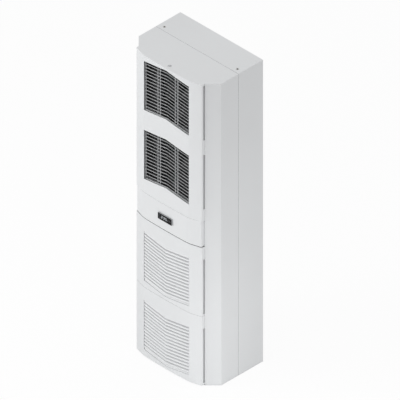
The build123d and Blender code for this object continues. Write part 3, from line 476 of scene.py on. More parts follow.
# %% Give every CAD node its finish
finish_of_slot = {
    "casing_paint": "powder_coat_grey",
    "cover_paint": "cover_plastic_grey",
    "grille_light": "louvre_plastic",
    "display_black": "display_black",
    "bezel_grey": "bezel_plastic",
    "housing_black": "black_plastic",
    "key_black": "key_plastic",
    "zinc_sheet": "galvanised_sheet",
    "zinc_small": "zinc_plated_steel",
    "black_sheet": "black_powder_coat",
    "fan_black": "black_plastic",
    "motor_black": "motor_enamel",
    "coil": "aluminium_fins",
    "copper": "copper_tube",
    "foam": "sealing_foam",
    "rubber": "soft_rubber",
    "filter": "filter_wire",
    "device_grey": "device_plastic",
}
for name, thing in frame["nodes"].items():
    thing.data.materials.clear()
    thing.data.materials.append(finishes[finish_of_slot[slot_of[name]]])
print("finishes given to", len(frame["nodes"]), "nodes")

# %% [markdown]
# ## Finished pieces
# Every new piece ends the same way: it gets its finish, rides on a body of the frame, and hides the
# CAD nodes that it stands for. Shading is smooth apart from sharp edges, or flat throughout where a
# piece keeps the CAD's own faces.

# %% Put a finished piece into the scene
SHARP = math.radians(35)


def settle(name, mesh, finish, body="housing", stands_for=None, edge=SHARP):
    """Links a mesh as a piece that rides on a body and may stand for a CAD node.

    It hides that node. The finish is None where the mesh has one, and the edge is None where it
    stays flat."""
    piece = bpy.data.objects.new(name, mesh)
    scene.collection.objects.link(piece)
    if not mesh.materials:
        mesh.materials.append(finishes[finish])
    if edge:
        mesh.shade_smooth()
        mesh.set_sharp_from_angle(angle=edge)
    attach(piece, body)
    if stands_for:
        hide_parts(stands_for)
    print(name, len(mesh.polygons), "faces")


# %% Grow a mesh from a tree
def grow(name, tree, values):
    """A plain mesh made by a Geometry Nodes tree with the values given by name."""
    seed = bpy.data.objects.new(name + "_seed", bpy.data.meshes.new(name))
    scene.collection.objects.link(seed)
    modifier = seed.modifiers.new(tree.name, "NODES")
    modifier.node_group = tree
    sockets = {
        item.name: item.identifier
        for item in tree.interface.items_tree
        if item.item_type == "SOCKET" and item.in_out == "INPUT"
    }
    for label, value in values.items():
        modifier[sockets[label]] = value
    bpy.context.view_layer.update()
    evaluated = seed.evaluated_get(bpy.context.evaluated_depsgraph_get())
    mesh = bpy.data.meshes.new_from_object(evaluated)
    mesh.name = name
    bpy.data.objects.remove(seed)
    return mesh


print("piece helpers ready")

# %% [markdown]
# ## Louvre inserts
# Each window of the covers holds a moulded insert: a frame with fifteen slats that are bent to a
# chevron and follow the crowned front. A slat's section never changes, only its place, so this is
# a job for Geometry Nodes. The tree sweeps one section along a straight line, copies it down a
# column of points, adds rails, mullions and side walls, and then bends everything at once: Z is
# lifted towards the middle, and Y follows the crown. The intakes have the same insert upside down.

# %% Geometry Nodes: the sizes of a louvre insert
louvre, louvre_in, louvre_out = group_of(
    "GeometryNodeTree",
    "louvre_insert",
    [
        ("Half Width", FLOAT, 130.6 * MM),
        ("Half Height", FLOAT, 124.5 * MM),
        ("Rise", FLOAT, 18.5 * MM),
        ("Crown", FLOAT, 3.65 * MM),
        ("Slats", WHOLE, 15),
        ("Pitch", FLOAT, 16.5 * MM),
        ("First Gap", FLOAT, 13.2 * MM),
        ("Nose", FLOAT, 7.0 * MM),
        ("Nose Lean", FLOAT, 2.6 * MM),
        ("Tail", FLOAT, 2.0 * MM),
        ("Depth", FLOAT, 10.5 * MM),
        ("Drop", FLOAT, 10.5 * MM),
        ("Edge Radius", FLOAT, 0.6 * MM),
        ("Sill", FLOAT, 0.0),
        ("Mullion Middle", FLOAT, 51.0 * MM),
        ("Mullion Pair", FLOAT, 14.0 * MM),
        ("Mullion Wall", FLOAT, 3.0 * MM),
        ("Turn", FLOAT, 0.0),
        ("Place", VECTOR, (0, 0, 0)),
        ("Finish", MATERIAL, None),
    ],
    [("Insert", SHAPE)],
)
insert = louvre_in.outputs
louvre_maths = partial(maths, louvre)
print("an insert has", len(insert) - 1, "inputs")


# %% Geometry Nodes: slats
PATH_POINTS = 21


def swept(tree, corners, radius, along):
    """A four cornered section with rounded edges, swept along a line in X.

    The section's first axis points to the front and its second one down."""
    section = result(
        tree,
        "GeometryNodeCurvePrimitiveQuadrilateral",
        {f"Point {i + 1}": point(tree, *corner) for i, corner in enumerate(corners)},
        mode="POINTS",
    )
    rounded = result(
        tree,
        "GeometryNodeFilletCurve",
        {"Curve": section, "Radius": radius, "Count": 2, "Limit Radius": True},
        mode="POLY",
    )
    return result(
        tree,
        "GeometryNodeCurveToMesh",
        {"Curve": along, "Profile Curve": rounded, "Fill Caps": True},
    )


def minus(size):
    """An input of the insert with the other sign."""
    return louvre_maths("MULTIPLY", insert[size], -1.0)


ends = {"Start": point(louvre, minus("Half Width")), "End": point(louvre, insert["Half Width"])}
span = result(louvre, "GeometryNodeCurvePrimitiveLine", ends)
path = result(louvre, "GeometryNodeResampleCurve", {"Curve": span, "Count": PATH_POINTS})
back = minus("Depth")
slat = swept(
    louvre,
    [
        (0.0, 0.0),
        (minus("Nose Lean"), insert["Nose"]),
        (back, louvre_maths("ADD", insert["Drop"], insert["Tail"])),
        (back, insert["Drop"]),
    ],
    insert["Edge Radius"],
    path,
)
top_slat = louvre_maths("SUBTRACT", insert["Half Height"], insert["First Gap"])
column = result(
    louvre,
    "GeometryNodeMeshLine",
    {
        "Count": insert["Slats"],
        "Start Location": point(louvre, 0.0, 0.0, top_slat),
        "Offset": point(louvre, 0.0, 0.0, minus("Pitch")),
    },
)
slats = result(louvre, "GeometryNodeInstanceOnPoints", {"Points": column, "Instance": slat})
print("the slats are", len(louvre.nodes), "nodes so far")

# %% Geometry Nodes: rails behind the cover's edge
RAIL_FRONT, RAIL_BACK = 2.5 * MM, 4.5 * MM
RAIL_INSIDE, RAIL_OUTSIDE = 2.3 * MM, 2.7 * MM  # how far it shows, and how far it is covered
RAIL_ROUND = 0.3 * MM
rails = []
for upright in (1, -1):
    edge = louvre_maths("MULTIPLY", insert["Half Height"], -upright)
    inner = louvre_maths("ADD", edge, upright * RAIL_INSIDE)
    outer = louvre_maths("ADD", edge, -upright * RAIL_OUTSIDE)
    low, high = (outer, inner) if upright > 0 else (inner, outer)
    # The first rail can lean like a slat, as a sill that closes the gap beside the window's edge
    rear = louvre_maths("ADD", high, insert["Sill"]) if upright > 0 else high
    rails.append(
        swept(
            louvre,
            [(-RAIL_FRONT, low), (-RAIL_FRONT, high), (-RAIL_BACK, rear), (-RAIL_BACK, low)],
            RAIL_ROUND,
            path,
        )
    )
print(len(rails), "rails")

# %% Geometry Nodes: mullions and side walls
RIB_SHARE = 0.42  # how much of the slats' depth a mullion has, from the rear
RIB_SHORTER, WALL_SHORTER = 6.0 * MM, 0.9 * MM  # than the window is high
WALL_THICK, WALL_BACK = 1.0 * MM, 3.0 * MM
WALL_SHIFT, WALL_LIFT = -0.008, 0.15 * MM  # share of the rise, and what brings the ends level


def plain_bar(tree, wide, deep, high):
    """A bar of eight corners about the origin."""
    return result(
        tree,
        "GeometryNodeMeshCube",
        {"Size": point(tree, wide, deep, high), "Vertices X": 2, "Vertices Y": 2, "Vertices Z": 2},
    )


def put(tree, geometry, place):
    """A geometry moved to its place."""
    return result(tree, "GeometryNodeTransform", {"Geometry": geometry, "Translation": place})


tall = louvre_maths("MULTIPLY", insert["Half Height"], 2.0)
rib_depth = louvre_maths("MULTIPLY", insert["Depth"], RIB_SHARE)
rib_height = louvre_maths("SUBTRACT", tall, RIB_SHORTER)
rib = plain_bar(louvre, insert["Mullion Wall"], rib_depth, rib_height)
rib_y = louvre_maths("SUBTRACT", insert["Depth"], louvre_maths("MULTIPLY", rib_depth, 0.5))
mullions = []
for side in (-1, 1):
    pair_x = louvre_maths("MULTIPLY", insert["Mullion Middle"], side)
    for half in (-0.5, 0.5):
        rib_x = louvre_maths("MULTIPLY_ADD", insert["Mullion Pair"], half, pair_x)
        mullions.append(put(louvre, rib, point(louvre, rib_x, rib_y)))

wall_depth = louvre_maths("SUBTRACT", insert["Depth"], WALL_BACK)
wall_height = louvre_maths("SUBTRACT", tall, WALL_SHORTER)
side_wall = plain_bar(louvre, WALL_THICK, wall_depth, wall_height)
wall_y = louvre_maths("MULTIPLY_ADD", insert["Depth"], 0.5, WALL_BACK / 2)
wall_z = louvre_maths("MULTIPLY_ADD", insert["Rise"], WALL_SHIFT, WALL_LIFT)
sides = []
for side in (-1, 1):
    wall_x = louvre_maths("MULTIPLY", insert["Half Width"], side)
    sides.append(put(louvre, side_wall, point(louvre, wall_x, wall_y, wall_z)))
print(len(mullions), "mullions and", len(sides), "side walls")


# %% Geometry Nodes: bend to the chevron and the crown, and put in the window
def spot_of(tree):
    """The X, Y and Z of each point of a mesh."""
    position = tree.nodes.new("GeometryNodeInputPosition")
    return node(tree, "ShaderNodeSeparateXYZ", {0: position.outputs[0]}).outputs


joined = louvre.nodes.new("GeometryNodeJoinGeometry")
for shape in [slats, *rails, *mullions, *sides]:
    louvre.links.new(shape, joined.inputs[0])
straight = result(louvre, "GeometryNodeRealizeInstances", {"Geometry": joined.outputs[0]})
from_middle = louvre_maths("ABSOLUTE", spot_of(louvre)["X"])
outwards = louvre_maths(
    "MINIMUM", louvre_maths("DIVIDE", from_middle, insert["Half Width"]), 1.0
)
to_middle = louvre_maths("SUBTRACT", 1.0, outwards)
bulge = louvre_maths("SUBTRACT", 1.0, louvre_maths("POWER", outwards, 2.0))
forwards = louvre_maths("MULTIPLY", louvre_maths("MULTIPLY", insert["Crown"], bulge), -1.0)
upwards = louvre_maths("MULTIPLY", insert["Rise"], to_middle)
chevron = result(
    louvre,
    "GeometryNodeSetPosition",
    {"Geometry": straight, "Offset": point(louvre, 0.0, forwards, upwards)},
)
in_window = result(
    louvre,
    "GeometryNodeTransform",
    {
        "Geometry": chevron,
        "Rotation": point(louvre, 0.0, insert["Turn"], 0.0),
        "Translation": insert["Place"],
    },
)
finished_insert = result(
    louvre, "GeometryNodeSetMaterial", {"Geometry": in_window, "Material": insert["Finish"]}
)
louvre.links.new(finished_insert, louvre_out.inputs["Insert"])
print("the louvre tree has", len(louvre.nodes), "nodes")

# %% Grow the four inserts
# The outlets' inserts sit a little behind the cover and have thin noses, the intakes' are flush.
# The outlets' plastic is darker as painted shade.
outlet = {
    "Nose": 5.2 * MM,
    "First Gap": 13.2 * MM,
    "Mullion Wall": 1.6 * MM,
    "Finish": finishes["louvre_plastic_shaded"],
}
intake = {
    "Turn": math.pi,
    "Nose": 8.8 * MM,
    "Sill": 6.5 * MM,
    "Nose Lean": 1.0 * MM,
    "First Gap": 9.5 * MM,
    "Mullion Wall": 0.6 * MM,
    "Finish": finishes["louvre_plastic"],
}
windows = {  # height of the middle, depth of the noses, and the insert's own values
    "outlet_louvre_upper": (1377.5, -155.0, outlet),
    "outlet_louvre_lower": (1027.5, -155.0, outlet),
    "intake_louvre_upper": (512.0, -159.5, intake),
    "intake_louvre_lower": (161.5, -159.5, intake),
}
SLAT_EDGE = math.radians(12)
for name, (middle, y_nose, values) in windows.items():
    values = dict(values, Place=(0.0, y_nose * MM, middle * MM))
    mesh = grow(name + "_insert", louvre, values)
    settle(name + "_insert", mesh, None, stands_for=name, edge=SLAT_EDGE)

# %% [markdown]
# ## Solids from rings of points
# Turned, moulded and bent pieces could be lathed or bevelled with modifiers, but here they are
# rings of points with faces between them, so that every size is exact. A ring of a single point
# closes a dome. All sizes here are in millimetres, as in the drawing of the machine.


# %% Skin rings of points
def skin(name, rings, closed=False):
    """A closed mesh through rings of points, in millimetres."""
    mesh = bmesh.new()
    rows = [[mesh.verts.new(Vector(p) * MM) for p in ring] for ring in rings]
    pairs = list(zip(rows, rows[1:]))
    if closed:
        pairs.append((rows[-1], rows[0]))
    for a, b in pairs:
        count = max(len(a), len(b))
        for i in range(count):
            j = (i + 1) % count
            corners = (a[i % len(a)], a[j % len(a)], b[j % len(b)], b[i % len(b)])
            mesh.faces.new(dict.fromkeys(corners))
    if not closed:
        for row in (rows[0], rows[-1]):
            if len(row) > 2:
                mesh.faces.new(row)
    bmesh.ops.recalc_face_normals(mesh, faces=mesh.faces)
    made = bpy.data.meshes.new(name)
    mesh.to_mesh(made)
    mesh.free()
    return made


def merged(name, parts):
    """Several meshes as one."""
    mesh = bmesh.new()
    for part in parts:
        mesh.from_mesh(part)
    made = bpy.data.meshes.new(name)
    mesh.to_mesh(made)
    mesh.free()
    return made


# %% Rings of several kinds
AXES = {"Y": ((0, 1, 0), (0, 0, 1)), "Z": ((0, 0, 1), (1, 0, 0))}  # axis, and a ring's start


def circle(middle, along, radius, level, sides=48):
    """A ring round an axis through middle, or one point where the radius is nil."""
    axis, first = (Vector(direction) for direction in AXES[along])
    second = axis.cross(first)
    centre = Vector(middle) + axis * level
    if radius == 0:
        return [centre]
    turns = [2 * math.pi * i / sides for i in range(sides)]
    return [centre + (first * math.cos(t) + second * math.sin(t)) * radius for t in turns]


def turned_solid(name, middle, along, profile):
    """A solid of revolution from pairs of radius and level along its axis."""
    return skin(name, [circle(middle, along, radius, level) for radius, level in profile])


def upright_plate(width, height, radius, y, middle, steps=4):
    """The outline of a plate that faces the front, with round corners."""
    x0, z0 = width / 2 - radius, height / 2 - radius
    outline = []
    for quarter, (sx, sz) in enumerate(((1, 1), (-1, 1), (-1, -1), (1, -1))):
        for step in range(steps + 1):
            turn = math.pi / 2 * (quarter + step / steps)
            x = sx * x0 + radius * math.cos(turn)
            z = sz * z0 + radius * math.sin(turn)
            outline.append((middle[0] + x, y, middle[1] + z))
    return outline


print("ring tools ready")

# %% [markdown]
# ## Casing seam
# Rear casing and front shell are two sheets that meet over a lip. In the drawing they touch, in
# the metal a narrow groove stays open, which shows as a fine dark line round the machine. A line
# in the paint would do for one view, but an open groove is right from all sides. So the front
# shell gets a copy whose rear edge ends a little earlier.

# %% Front shell with its open seam
SEAM_Y = 21.35
SEAM_GAP = 1.0
SAME_PLACE = 0.01 * MM

shell = frame["nodes"]["front_shell"]
shell_mesh = shell.data.copy()
shell_mesh.transform(shell.matrix_world)
work = bmesh.new()
work.from_mesh(shell_mesh)
bmesh.ops.remove_doubles(work, verts=work.verts, dist=SAME_PLACE)
rear_edge = [v for v in work.verts if v.co.y > (SEAM_Y - 0.05) * MM]
for v in rear_edge:
    v.co.y -= SEAM_GAP * MM
work.to_mesh(shell_mesh)
work.free()
shell_mesh.materials.clear()
settle(
    "front_shell_body", shell_mesh, "powder_coat_grey", stands_for="front_shell", edge=None
)
print(len(rear_edge), "points of the rear edge moved")

# %% [markdown]
# ## Controller
# The frame round the controller's front is grey on its flanks and black in front. One piece with
# a mask could show both, but two rings are plainer, and each has its own finish. The figures are
# lit segments behind the film: plain numbers, with plain shapes as marks beside them. They are
# thin plates and no text, because a segment display has no font.

# %% Frame of the controller
PANEL = (0.0, 769.0)
Y_CROWN, Y_BEZEL, Y_FILM, Y_KEYS = -163.45, -169.95, -168.75, -169.75
SPLIT = 0.6
FRONT, FRONT_CORNER = (80.5, 30.5), 1.2
OPENING, OPENING_CORNER = (78.2, 28.2), 0.6
RIM_ROUND, RIM_ROUND_MIDDLE = 0.3, 0.09


def frame_ring(name, levels):
    """A closed ring round the controller's opening. Levels are (inset, y) from rear to front."""
    wide, high = FRONT
    outer = [
        upright_plate(wide - 2 * inset, high - 2 * inset, FRONT_CORNER, y, PANEL)
        for inset, y in levels
    ]
    inner = [
        upright_plate(*OPENING, OPENING_CORNER, y, PANEL) for y in (levels[-1][1], levels[0][1])
    ]
    return skin(name, outer + inner, closed=True)


controller_rings = {  # levels, finish and slot
    "controller_flanks": (
        [(0, Y_CROWN), (0, Y_BEZEL + SPLIT)],
        "bezel_plastic",
        "bezel_grey",
    ),
    "controller_rim": (
        [
            (0, Y_BEZEL + SPLIT),
            (0, Y_BEZEL + RIM_ROUND),
            (RIM_ROUND_MIDDLE, Y_BEZEL + RIM_ROUND_MIDDLE),
            (RIM_ROUND, Y_BEZEL),
        ],
        "display_black",
        "display_black",
    ),
}
for name, (levels, finish, slot) in controller_rings.items():
    settle(name, frame_ring(name, levels), finish, stands_for="controller_bezel")

# %% Segments of a lit figure
SEGMENTS = {  # top, upper left, upper right, middle, lower left, lower right, bottom
    "2": (1, 0, 1, 1, 1, 0, 1),
    "3": (1, 0, 1, 1, 0, 1, 1),
    "5": (1, 1, 0, 1, 0, 1, 1),
}
FIGURE_HEIGHT, FIGURE_WIDTH, STROKE = 12.6, 8.0, 1.7
LEAN = 0.08
SEGMENT_GAP = 0.25  # at each end of a segment
LIT_THICK, MARK_THICK = 0.12, 0.1


def flat_shape(corners, y, thickness):
    """A thin plate that faces the front, from its corners in X and Z."""
    return skin("mark", [[(x, y - depth, z) for x, z in corners] for depth in (0, thickness)])


def segment(x, z, length, upright):
    """The corners of one six-sided segment."""
    half, tip = length / 2 - SEGMENT_GAP, STROKE / 2
    lower = [(-half, 0), (tip - half, -tip), (half - tip, -tip)]
    upper = [(half, 0), (half - tip, tip), (tip - half, tip)]
    corners = lower + upper
    if upright:
        corners = [(-b, a) for a, b in corners]
    return [(x + a + LEAN * (z + b), z + b) for a, b in corners]


def figure(digit, x):
    """The lit segments of one digit about its middle."""
    wide, tall = FIGURE_WIDTH - STROKE, (FIGURE_HEIGHT - STROKE) / 2
    places = [
        (0, tall, wide, False),
        (-wide / 2, tall / 2, tall, True),
        (wide / 2, tall / 2, tall, True),
        (0, 0, wide, False),
        (-wide / 2, -tall / 2, tall, True),
        (wide / 2, -tall / 2, tall, True),
        (0, -tall, wide, False),
    ]
    shapes = []
    for lit, (dx, dz, length, upright) in zip(SEGMENTS[digit], places):
        if lit:
            corners = [(x + a, PANEL[1] + b) for a, b in segment(dx, dz, length, upright)]
            shapes.append(flat_shape(corners, Y_FILM, LIT_THICK))
    return shapes


print(len(SEGMENTS), "figures to show")

# %% Lit figures, printed marks and the keys' arrows
DIGITS = {"2": -17.2, "3": -5.5, "5": 6.2}  # where each figure's middle is
POINT_PLACE, POINT_RADIUS = (12.6, -5.4), 0.9
ICON_X, ICON_RADIUS = -31.5, 1.3
ICONS = ((9.0, 6, 0.0), (3.0, 3, math.pi / 2), (-3.0, 4, 0.0), (-9.0, 12, 0.0))
ARROW_RADIUS = 1.5
ARROWS = {"key_down": ("down_key", 19.0, -math.pi / 2), "key_up": ("up_key", 30.0, math.pi / 2)}


def regular(x, z, radius, sides, turn):
    """The corners of a small regular shape beside the figures."""
    angles = [turn + 2 * math.pi * i / sides for i in range(sides)]
    return [(x + radius * math.cos(a), PANEL[1] + z + radius * math.sin(a)) for a in angles]


figures = [shape for digit, x in DIGITS.items() for shape in figure(digit, x)]
decimal_point = regular(*POINT_PLACE, POINT_RADIUS, 4, math.pi / 4)
figures.append(flat_shape(decimal_point, Y_FILM, LIT_THICK))
icons = [
    flat_shape(regular(ICON_X, z, ICON_RADIUS, sides, turn), Y_FILM, MARK_THICK)
    for z, sides, turn in ICONS
]
for name, shapes, finish in (
    ("display_figures", figures, "lit_figures"),
    ("display_icons", icons, "printed_marks"),
):
    settle(name, merged(name, shapes), finish)
for key, (body, x, turn) in ARROWS.items():
    arrow = flat_shape(regular(x, 0.0, ARROW_RADIUS, 3, turn), Y_KEYS, MARK_THICK)
    settle(key + "_arrow", arrow, "printed_marks", body=body)

# %% [markdown]
# ## Moving pieces seen through the grilles
# The fans and the blower show behind slats and bars. Their blades are equal, so one blade is
# drawn as a thin curved sheet and Geometry Nodes sets copies of it round the axis and thickens
# them. The hubs are turned.

# %% Geometry Nodes: the sizes of blades round an axis
blades, blades_in, blades_out = group_of(
    "GeometryNodeTree",
    "blade_ring",
    [
        ("Count", WHOLE, 5),
        ("Root Radius", FLOAT, 40.0 * MM),
        ("Tip Radius", FLOAT, 110.0 * MM),
        ("Root Chord", FLOAT, 30.0 * MM),
        ("Tip Chord", FLOAT, 74.0 * MM),
        ("Root Pitch", FLOAT, 0.7),
        ("Tip Pitch", FLOAT, 0.42),
        ("Camber", FLOAT, 5.0 * MM),
        ("Thickness", FLOAT, 2.2 * MM),
        ("Start Turn", FLOAT, 0.0),
        ("Place", VECTOR, (0, 0, 0)),
        ("Finish", MATERIAL, None),
    ],
    [("Blades", SHAPE)],
)
impeller = blades_in.outputs
blade_maths = partial(maths, blades)


def blend(factor, low, high):
    """A value between two others."""
    return blade_maths("MULTIPLY_ADD", factor, blade_maths("SUBTRACT", high, low), low)


print("a ring of blades has", len(impeller) - 1, "inputs")

# %% Geometry Nodes: the curved sheet of one blade
LAST_PART = 4.0  # the tip is rounded over the last quarter
TIP_LOSS = 0.45
sheet = result(
    blades,
    "GeometryNodeMeshGrid",
    {"Size X": 1.0, "Size Y": 1.0, "Vertices X": 12, "Vertices Y": 9},
)
on_sheet = spot_of(blades)
outward = blade_maths("ADD", on_sheet["X"], 0.5)
across = on_sheet["Y"]
near_tip = blade_maths(
    "MAXIMUM", blade_maths("MULTIPLY_ADD", outward, LAST_PART, 1.0 - LAST_PART), 0.0
)
loss = blade_maths("MULTIPLY", blade_maths("POWER", near_tip, 2.0), TIP_LOSS)
rounding = blade_maths("SQRT", blade_maths("SUBTRACT", 1.0, loss))
full_chord = blend(outward, impeller["Root Chord"], impeller["Tip Chord"])
chord = blade_maths("MULTIPLY", full_chord, rounding)
along = blade_maths("MULTIPLY", across, chord)
# The bow is 1 in the blade's middle and 0 at both edges, where across is a half
squared = blade_maths("POWER", blade_maths("ABSOLUTE", across), 2.0)
bow = blade_maths(
    "MULTIPLY", impeller["Camber"], blade_maths("MULTIPLY_ADD", squared, -4.0, 1.0)
)
pitch = blend(outward, impeller["Root Pitch"], impeller["Tip Pitch"])
sine, cosine = blade_maths("SINE", pitch), blade_maths("COSINE", pitch)
sideways = blade_maths(
    "SUBTRACT", blade_maths("MULTIPLY", along, cosine), blade_maths("MULTIPLY", bow, sine)
)
depth = blade_maths(
    "ADD", blade_maths("MULTIPLY", along, sine), blade_maths("MULTIPLY", bow, cosine)
)
# Bent round the axis, so that root and tip follow circles
radius = blend(outward, impeller["Root Radius"], impeller["Tip Radius"])
angle = blade_maths("DIVIDE", sideways, radius)
curved = result(
    blades,
    "GeometryNodeSetPosition",
    {
        "Geometry": sheet,
        "Position": point(
            blades,
            blade_maths("MULTIPLY", radius, blade_maths("SINE", angle)),
            blade_maths("MULTIPLY", depth, -1.0),
            blade_maths("MULTIPLY", radius, blade_maths("COSINE", angle)),
        ),
    },
)
print("one blade is", len(blades.nodes), "nodes so far")

# %% Geometry Nodes: thicken the blade and set copies round the axis
thick = result(
    blades,
    "GeometryNodeExtrudeMesh",
    {
        "Mesh": curved,
        "Offset": point(blades, 0.0, impeller["Thickness"], 0.0),
        "Offset Scale": 1.0,
        "Individual": False,
    },
    mode="FACES",
)
# Extruding leaves the back open, so the flipped sheet closes it
underside = result(blades, "GeometryNodeFlipFaces", {"Mesh": curved})
whole = blades.nodes.new("GeometryNodeJoinGeometry")
for shape in (thick, underside):
    blades.links.new(shape, whole.inputs[0])
blade = result(
    blades,
    "GeometryNodeMergeByDistance",
    {"Geometry": whole.outputs[0], "Distance": SAME_PLACE},
)
# One point per blade, all at the axis, turned step by step
points = result(
    blades, "GeometryNodeMeshLine", {"Count": impeller["Count"], "Offset": (0, 0, 0)}
)
blade_step = blade_maths("DIVIDE", 2 * math.pi, impeller["Count"])
which = blades.nodes.new("GeometryNodeInputIndex").outputs[0]
blade_turn = blade_maths("MULTIPLY_ADD", which, blade_step, impeller["Start Turn"])
around = result(
    blades,
    "GeometryNodeInstanceOnPoints",
    {"Points": points, "Instance": blade, "Rotation": point(blades, 0.0, blade_turn, 0.0)},
)
in_place = put(blades, around, impeller["Place"])
solid_blades = result(blades, "GeometryNodeRealizeInstances", {"Geometry": in_place})
finished_blades = result(
    blades, "GeometryNodeSetMaterial", {"Geometry": solid_blades, "Material": impeller["Finish"]}
)
blades.links.new(finished_blades, blades_out.inputs["Blades"])
print("the blade tree has", len(blades.nodes), "nodes")

# %% Condenser fans
FAN_LEVELS = {"upper": 1377.5, "lower": 1027.5}
HUB_FRONT, HUB_REAR = -116.15, -92.15
HUB_RADIUS, BORE_RADIUS = 45.0, 4.05
BLADES_Y = -105.3
hub_profile = [  # radius and depth, from the bore's end round the rear to the domed front
    (0.0, HUB_FRONT + 2.0),
    (BORE_RADIUS, HUB_FRONT + 2.0),
    (BORE_RADIUS, HUB_REAR),
    (HUB_RADIUS, HUB_REAR),
    (HUB_RADIUS, HUB_FRONT + 5.0),
    (43.5, HUB_FRONT + 2.0),
    (40.0, HUB_FRONT + 0.4),
    (34.0, HUB_FRONT),
    (14.0, HUB_FRONT),
    (12.5, HUB_FRONT + 1.6),
    (0.0, HUB_FRONT + 1.6),
]
for name, height in FAN_LEVELS.items():
    fan, body = "fan_impeller_" + name, name + "_fan"
    hub = turned_solid(fan + "_hub", (0.0, 0.0, height), "Y", hub_profile)
    settle(fan + "_hub", hub, "black_plastic", body, stands_for=fan)
    values = {
        "Count": 5,
        "Place": (0.0, BLADES_Y * MM, height * MM),
        "Finish": finishes["black_plastic"],
    }
    settle(fan + "_blades", grow(fan + "_blades", blades, values), None, body, stands_for=fan)

# %% [markdown]
# ## Blower wheel
# The enclosure's air is moved by a wheel that draws in from the middle and throws outwards. A
# plate with a dished hub carries backward curved blades. Each is a thin arc pulled out along Y,
# which the ring tools make with two outlines, so no tree is needed.

# %% Blower wheel of the enclosure air
BLOWER = (0.0, 0.0, 1360.0)
WHEEL_BACK, WHEEL_PLATE, WHEEL_FRONT = 104.45, 106.95, 154.45
WHEEL_BLADES, BLADE_WALL = 7, 2.5
BLADE_START, BLADE_REACH = 56.5, 46.0  # radius of its inner end, and how far out it goes
BLADE_SWEEP, SWEEP_GROWTH = math.radians(34), 1.15
BLADE_SKEW = 0.55  # cuts the blade's ends aslant
BLADE_STEPS = 8
INTO_PLATE = 0.2
WHEEL_SIDES = 64


def wheel_blade(turn):
    """One backward curved blade, as two outlines joined along Y."""
    front_side, rear_side = [], []
    for step in range(BLADE_STEPS + 1):
        share = step / BLADE_STEPS
        swept_angle = turn - BLADE_SWEEP * share**SWEEP_GROWTH
        out = Vector((math.cos(swept_angle), 0, math.sin(swept_angle)))
        round_it = Vector((-math.sin(swept_angle), 0, math.cos(swept_angle)))
        skew = (round_it - out * BLADE_SKEW).normalized() * BLADE_WALL / 2
        spot = Vector(BLOWER) + out * (BLADE_START + BLADE_REACH * share)
        front_side.append(spot + skew)
        rear_side.append(spot - skew)
    outline = front_side + rear_side[::-1]
    depths = (WHEEL_PLATE - INTO_PLATE, WHEEL_FRONT)
    return skin("blade", [[p + Vector((0, y, 0)) for p in outline] for y in depths])


plate_profile = [  # radius and depth, round a ring with the spindle's bore in it
    (5.1, WHEEL_BACK),
    (103.8, WHEEL_BACK),
    (105.0, WHEEL_BACK + 1.2),
    (103.8, WHEEL_PLATE),
    (30.0, WHEEL_PLATE),
    (18.0, WHEEL_BACK + 6.0),
    (11.5, WHEEL_BACK + 10.5),
    (9.5, WHEEL_BACK + 12.0),
    (5.1, WHEEL_BACK + 12.0),
]
plate_rings = [circle(BLOWER, "Y", *corner, WHEEL_SIDES) for corner in plate_profile]
wheel_parts = [skin("wheel_plate", plate_rings, closed=True)]
wheel_parts += [wheel_blade(2 * math.pi * i / WHEEL_BLADES) for i in range(WHEEL_BLADES)]
settle(
    "blower_wheel",
    merged("blower_wheel", wheel_parts),
    "black_plastic",
    body="enclosure_blower",
    stands_for="blower_impeller",
)

# %% [markdown]
# ## Fastener on top
# A flush head with a screwdriver slot, a chamfer round its rim and a fine shadow gap to its seat.
# The slot could be cut with a Boolean, but two raised halves leave it between them with clean
# faces. The head and its shank are turned, and a cross bar below locks under the cover.

# %% Head, shank and cross bar of the fastener
FASTENER = (0.0, -140.15, 0.0)
TOP, BAR_TOP, BAR_BOTTOM = 1532.0, 1523.9, 1520.4
HEAD_RADIUS, SHANK_RADIUS, RECESS = 8.0, 3.0, 1.4
BAR_HALF, BAR_REACH, BAR_CHAMFER = 2.5, 10, 0.6
HALF_STEPS = 12
head = turned_solid(
    "head",
    FASTENER,
    "Z",
    [
        (0.0, TOP - RECESS),
        (5.4, TOP - RECESS),
        (5.9, TOP - 0.2),
        (6.3, TOP),
        (6.9, TOP),
        (HEAD_RADIUS, TOP - 1.3),
        (HEAD_RADIUS, TOP - 3.0),
        (SHANK_RADIUS, TOP - 3.0),
        (SHANK_RADIUS, BAR_TOP - 0.2),
        (0.0, BAR_TOP - 0.2),
    ],
)


def raised_half(side):
    """One of the two halves that leave the screwdriver slot between them."""
    outline = []
    for step in range(HALF_STEPS + 1):
        turn = math.pi * step / HALF_STEPS
        x = side * (0.7 + 3.9 * math.sin(turn))
        outline.append(Vector((x, FASTENER[1] + 4.6 * math.cos(turn), 0)))
    heights = (TOP - RECESS - 0.1, TOP - 0.15)
    return skin("half", [[p + Vector((0, 0, z)) for p in outline] for z in heights])


def cross_bar():
    """The bar that locks under the cover, with its upright edges cut back a little."""
    x, y, cut = BAR_HALF, BAR_REACH, BAR_CHAMFER
    outline = [
        (cut - x, -y), (x - cut, -y), (x, cut - y), (x, y - cut),
        (x - cut, y), (cut - x, y), (-x, y - cut), (-x, cut - y),
    ]
    levels = (BAR_BOTTOM, BAR_TOP)
    return skin("bar", [[(a, FASTENER[1] + b, z) for a, b in outline] for z in levels])


settle(
    "fastener_head",
    merged("fastener_head", [head, raised_half(1), raised_half(-1), cross_bar()]),
    "cover_plastic_grey",
    body="latch",
    stands_for="quarter_turn",
)

# %% [markdown]
# ## Stage and light
# The floor is pale and keeps a faint shadow. The camera sees it and the world as nearly white,
# while the object is lit at a plain level: a soft sky, one broad lamp from the front left, one
# overhead, and two low ones at the right that brighten the side towards its foot.

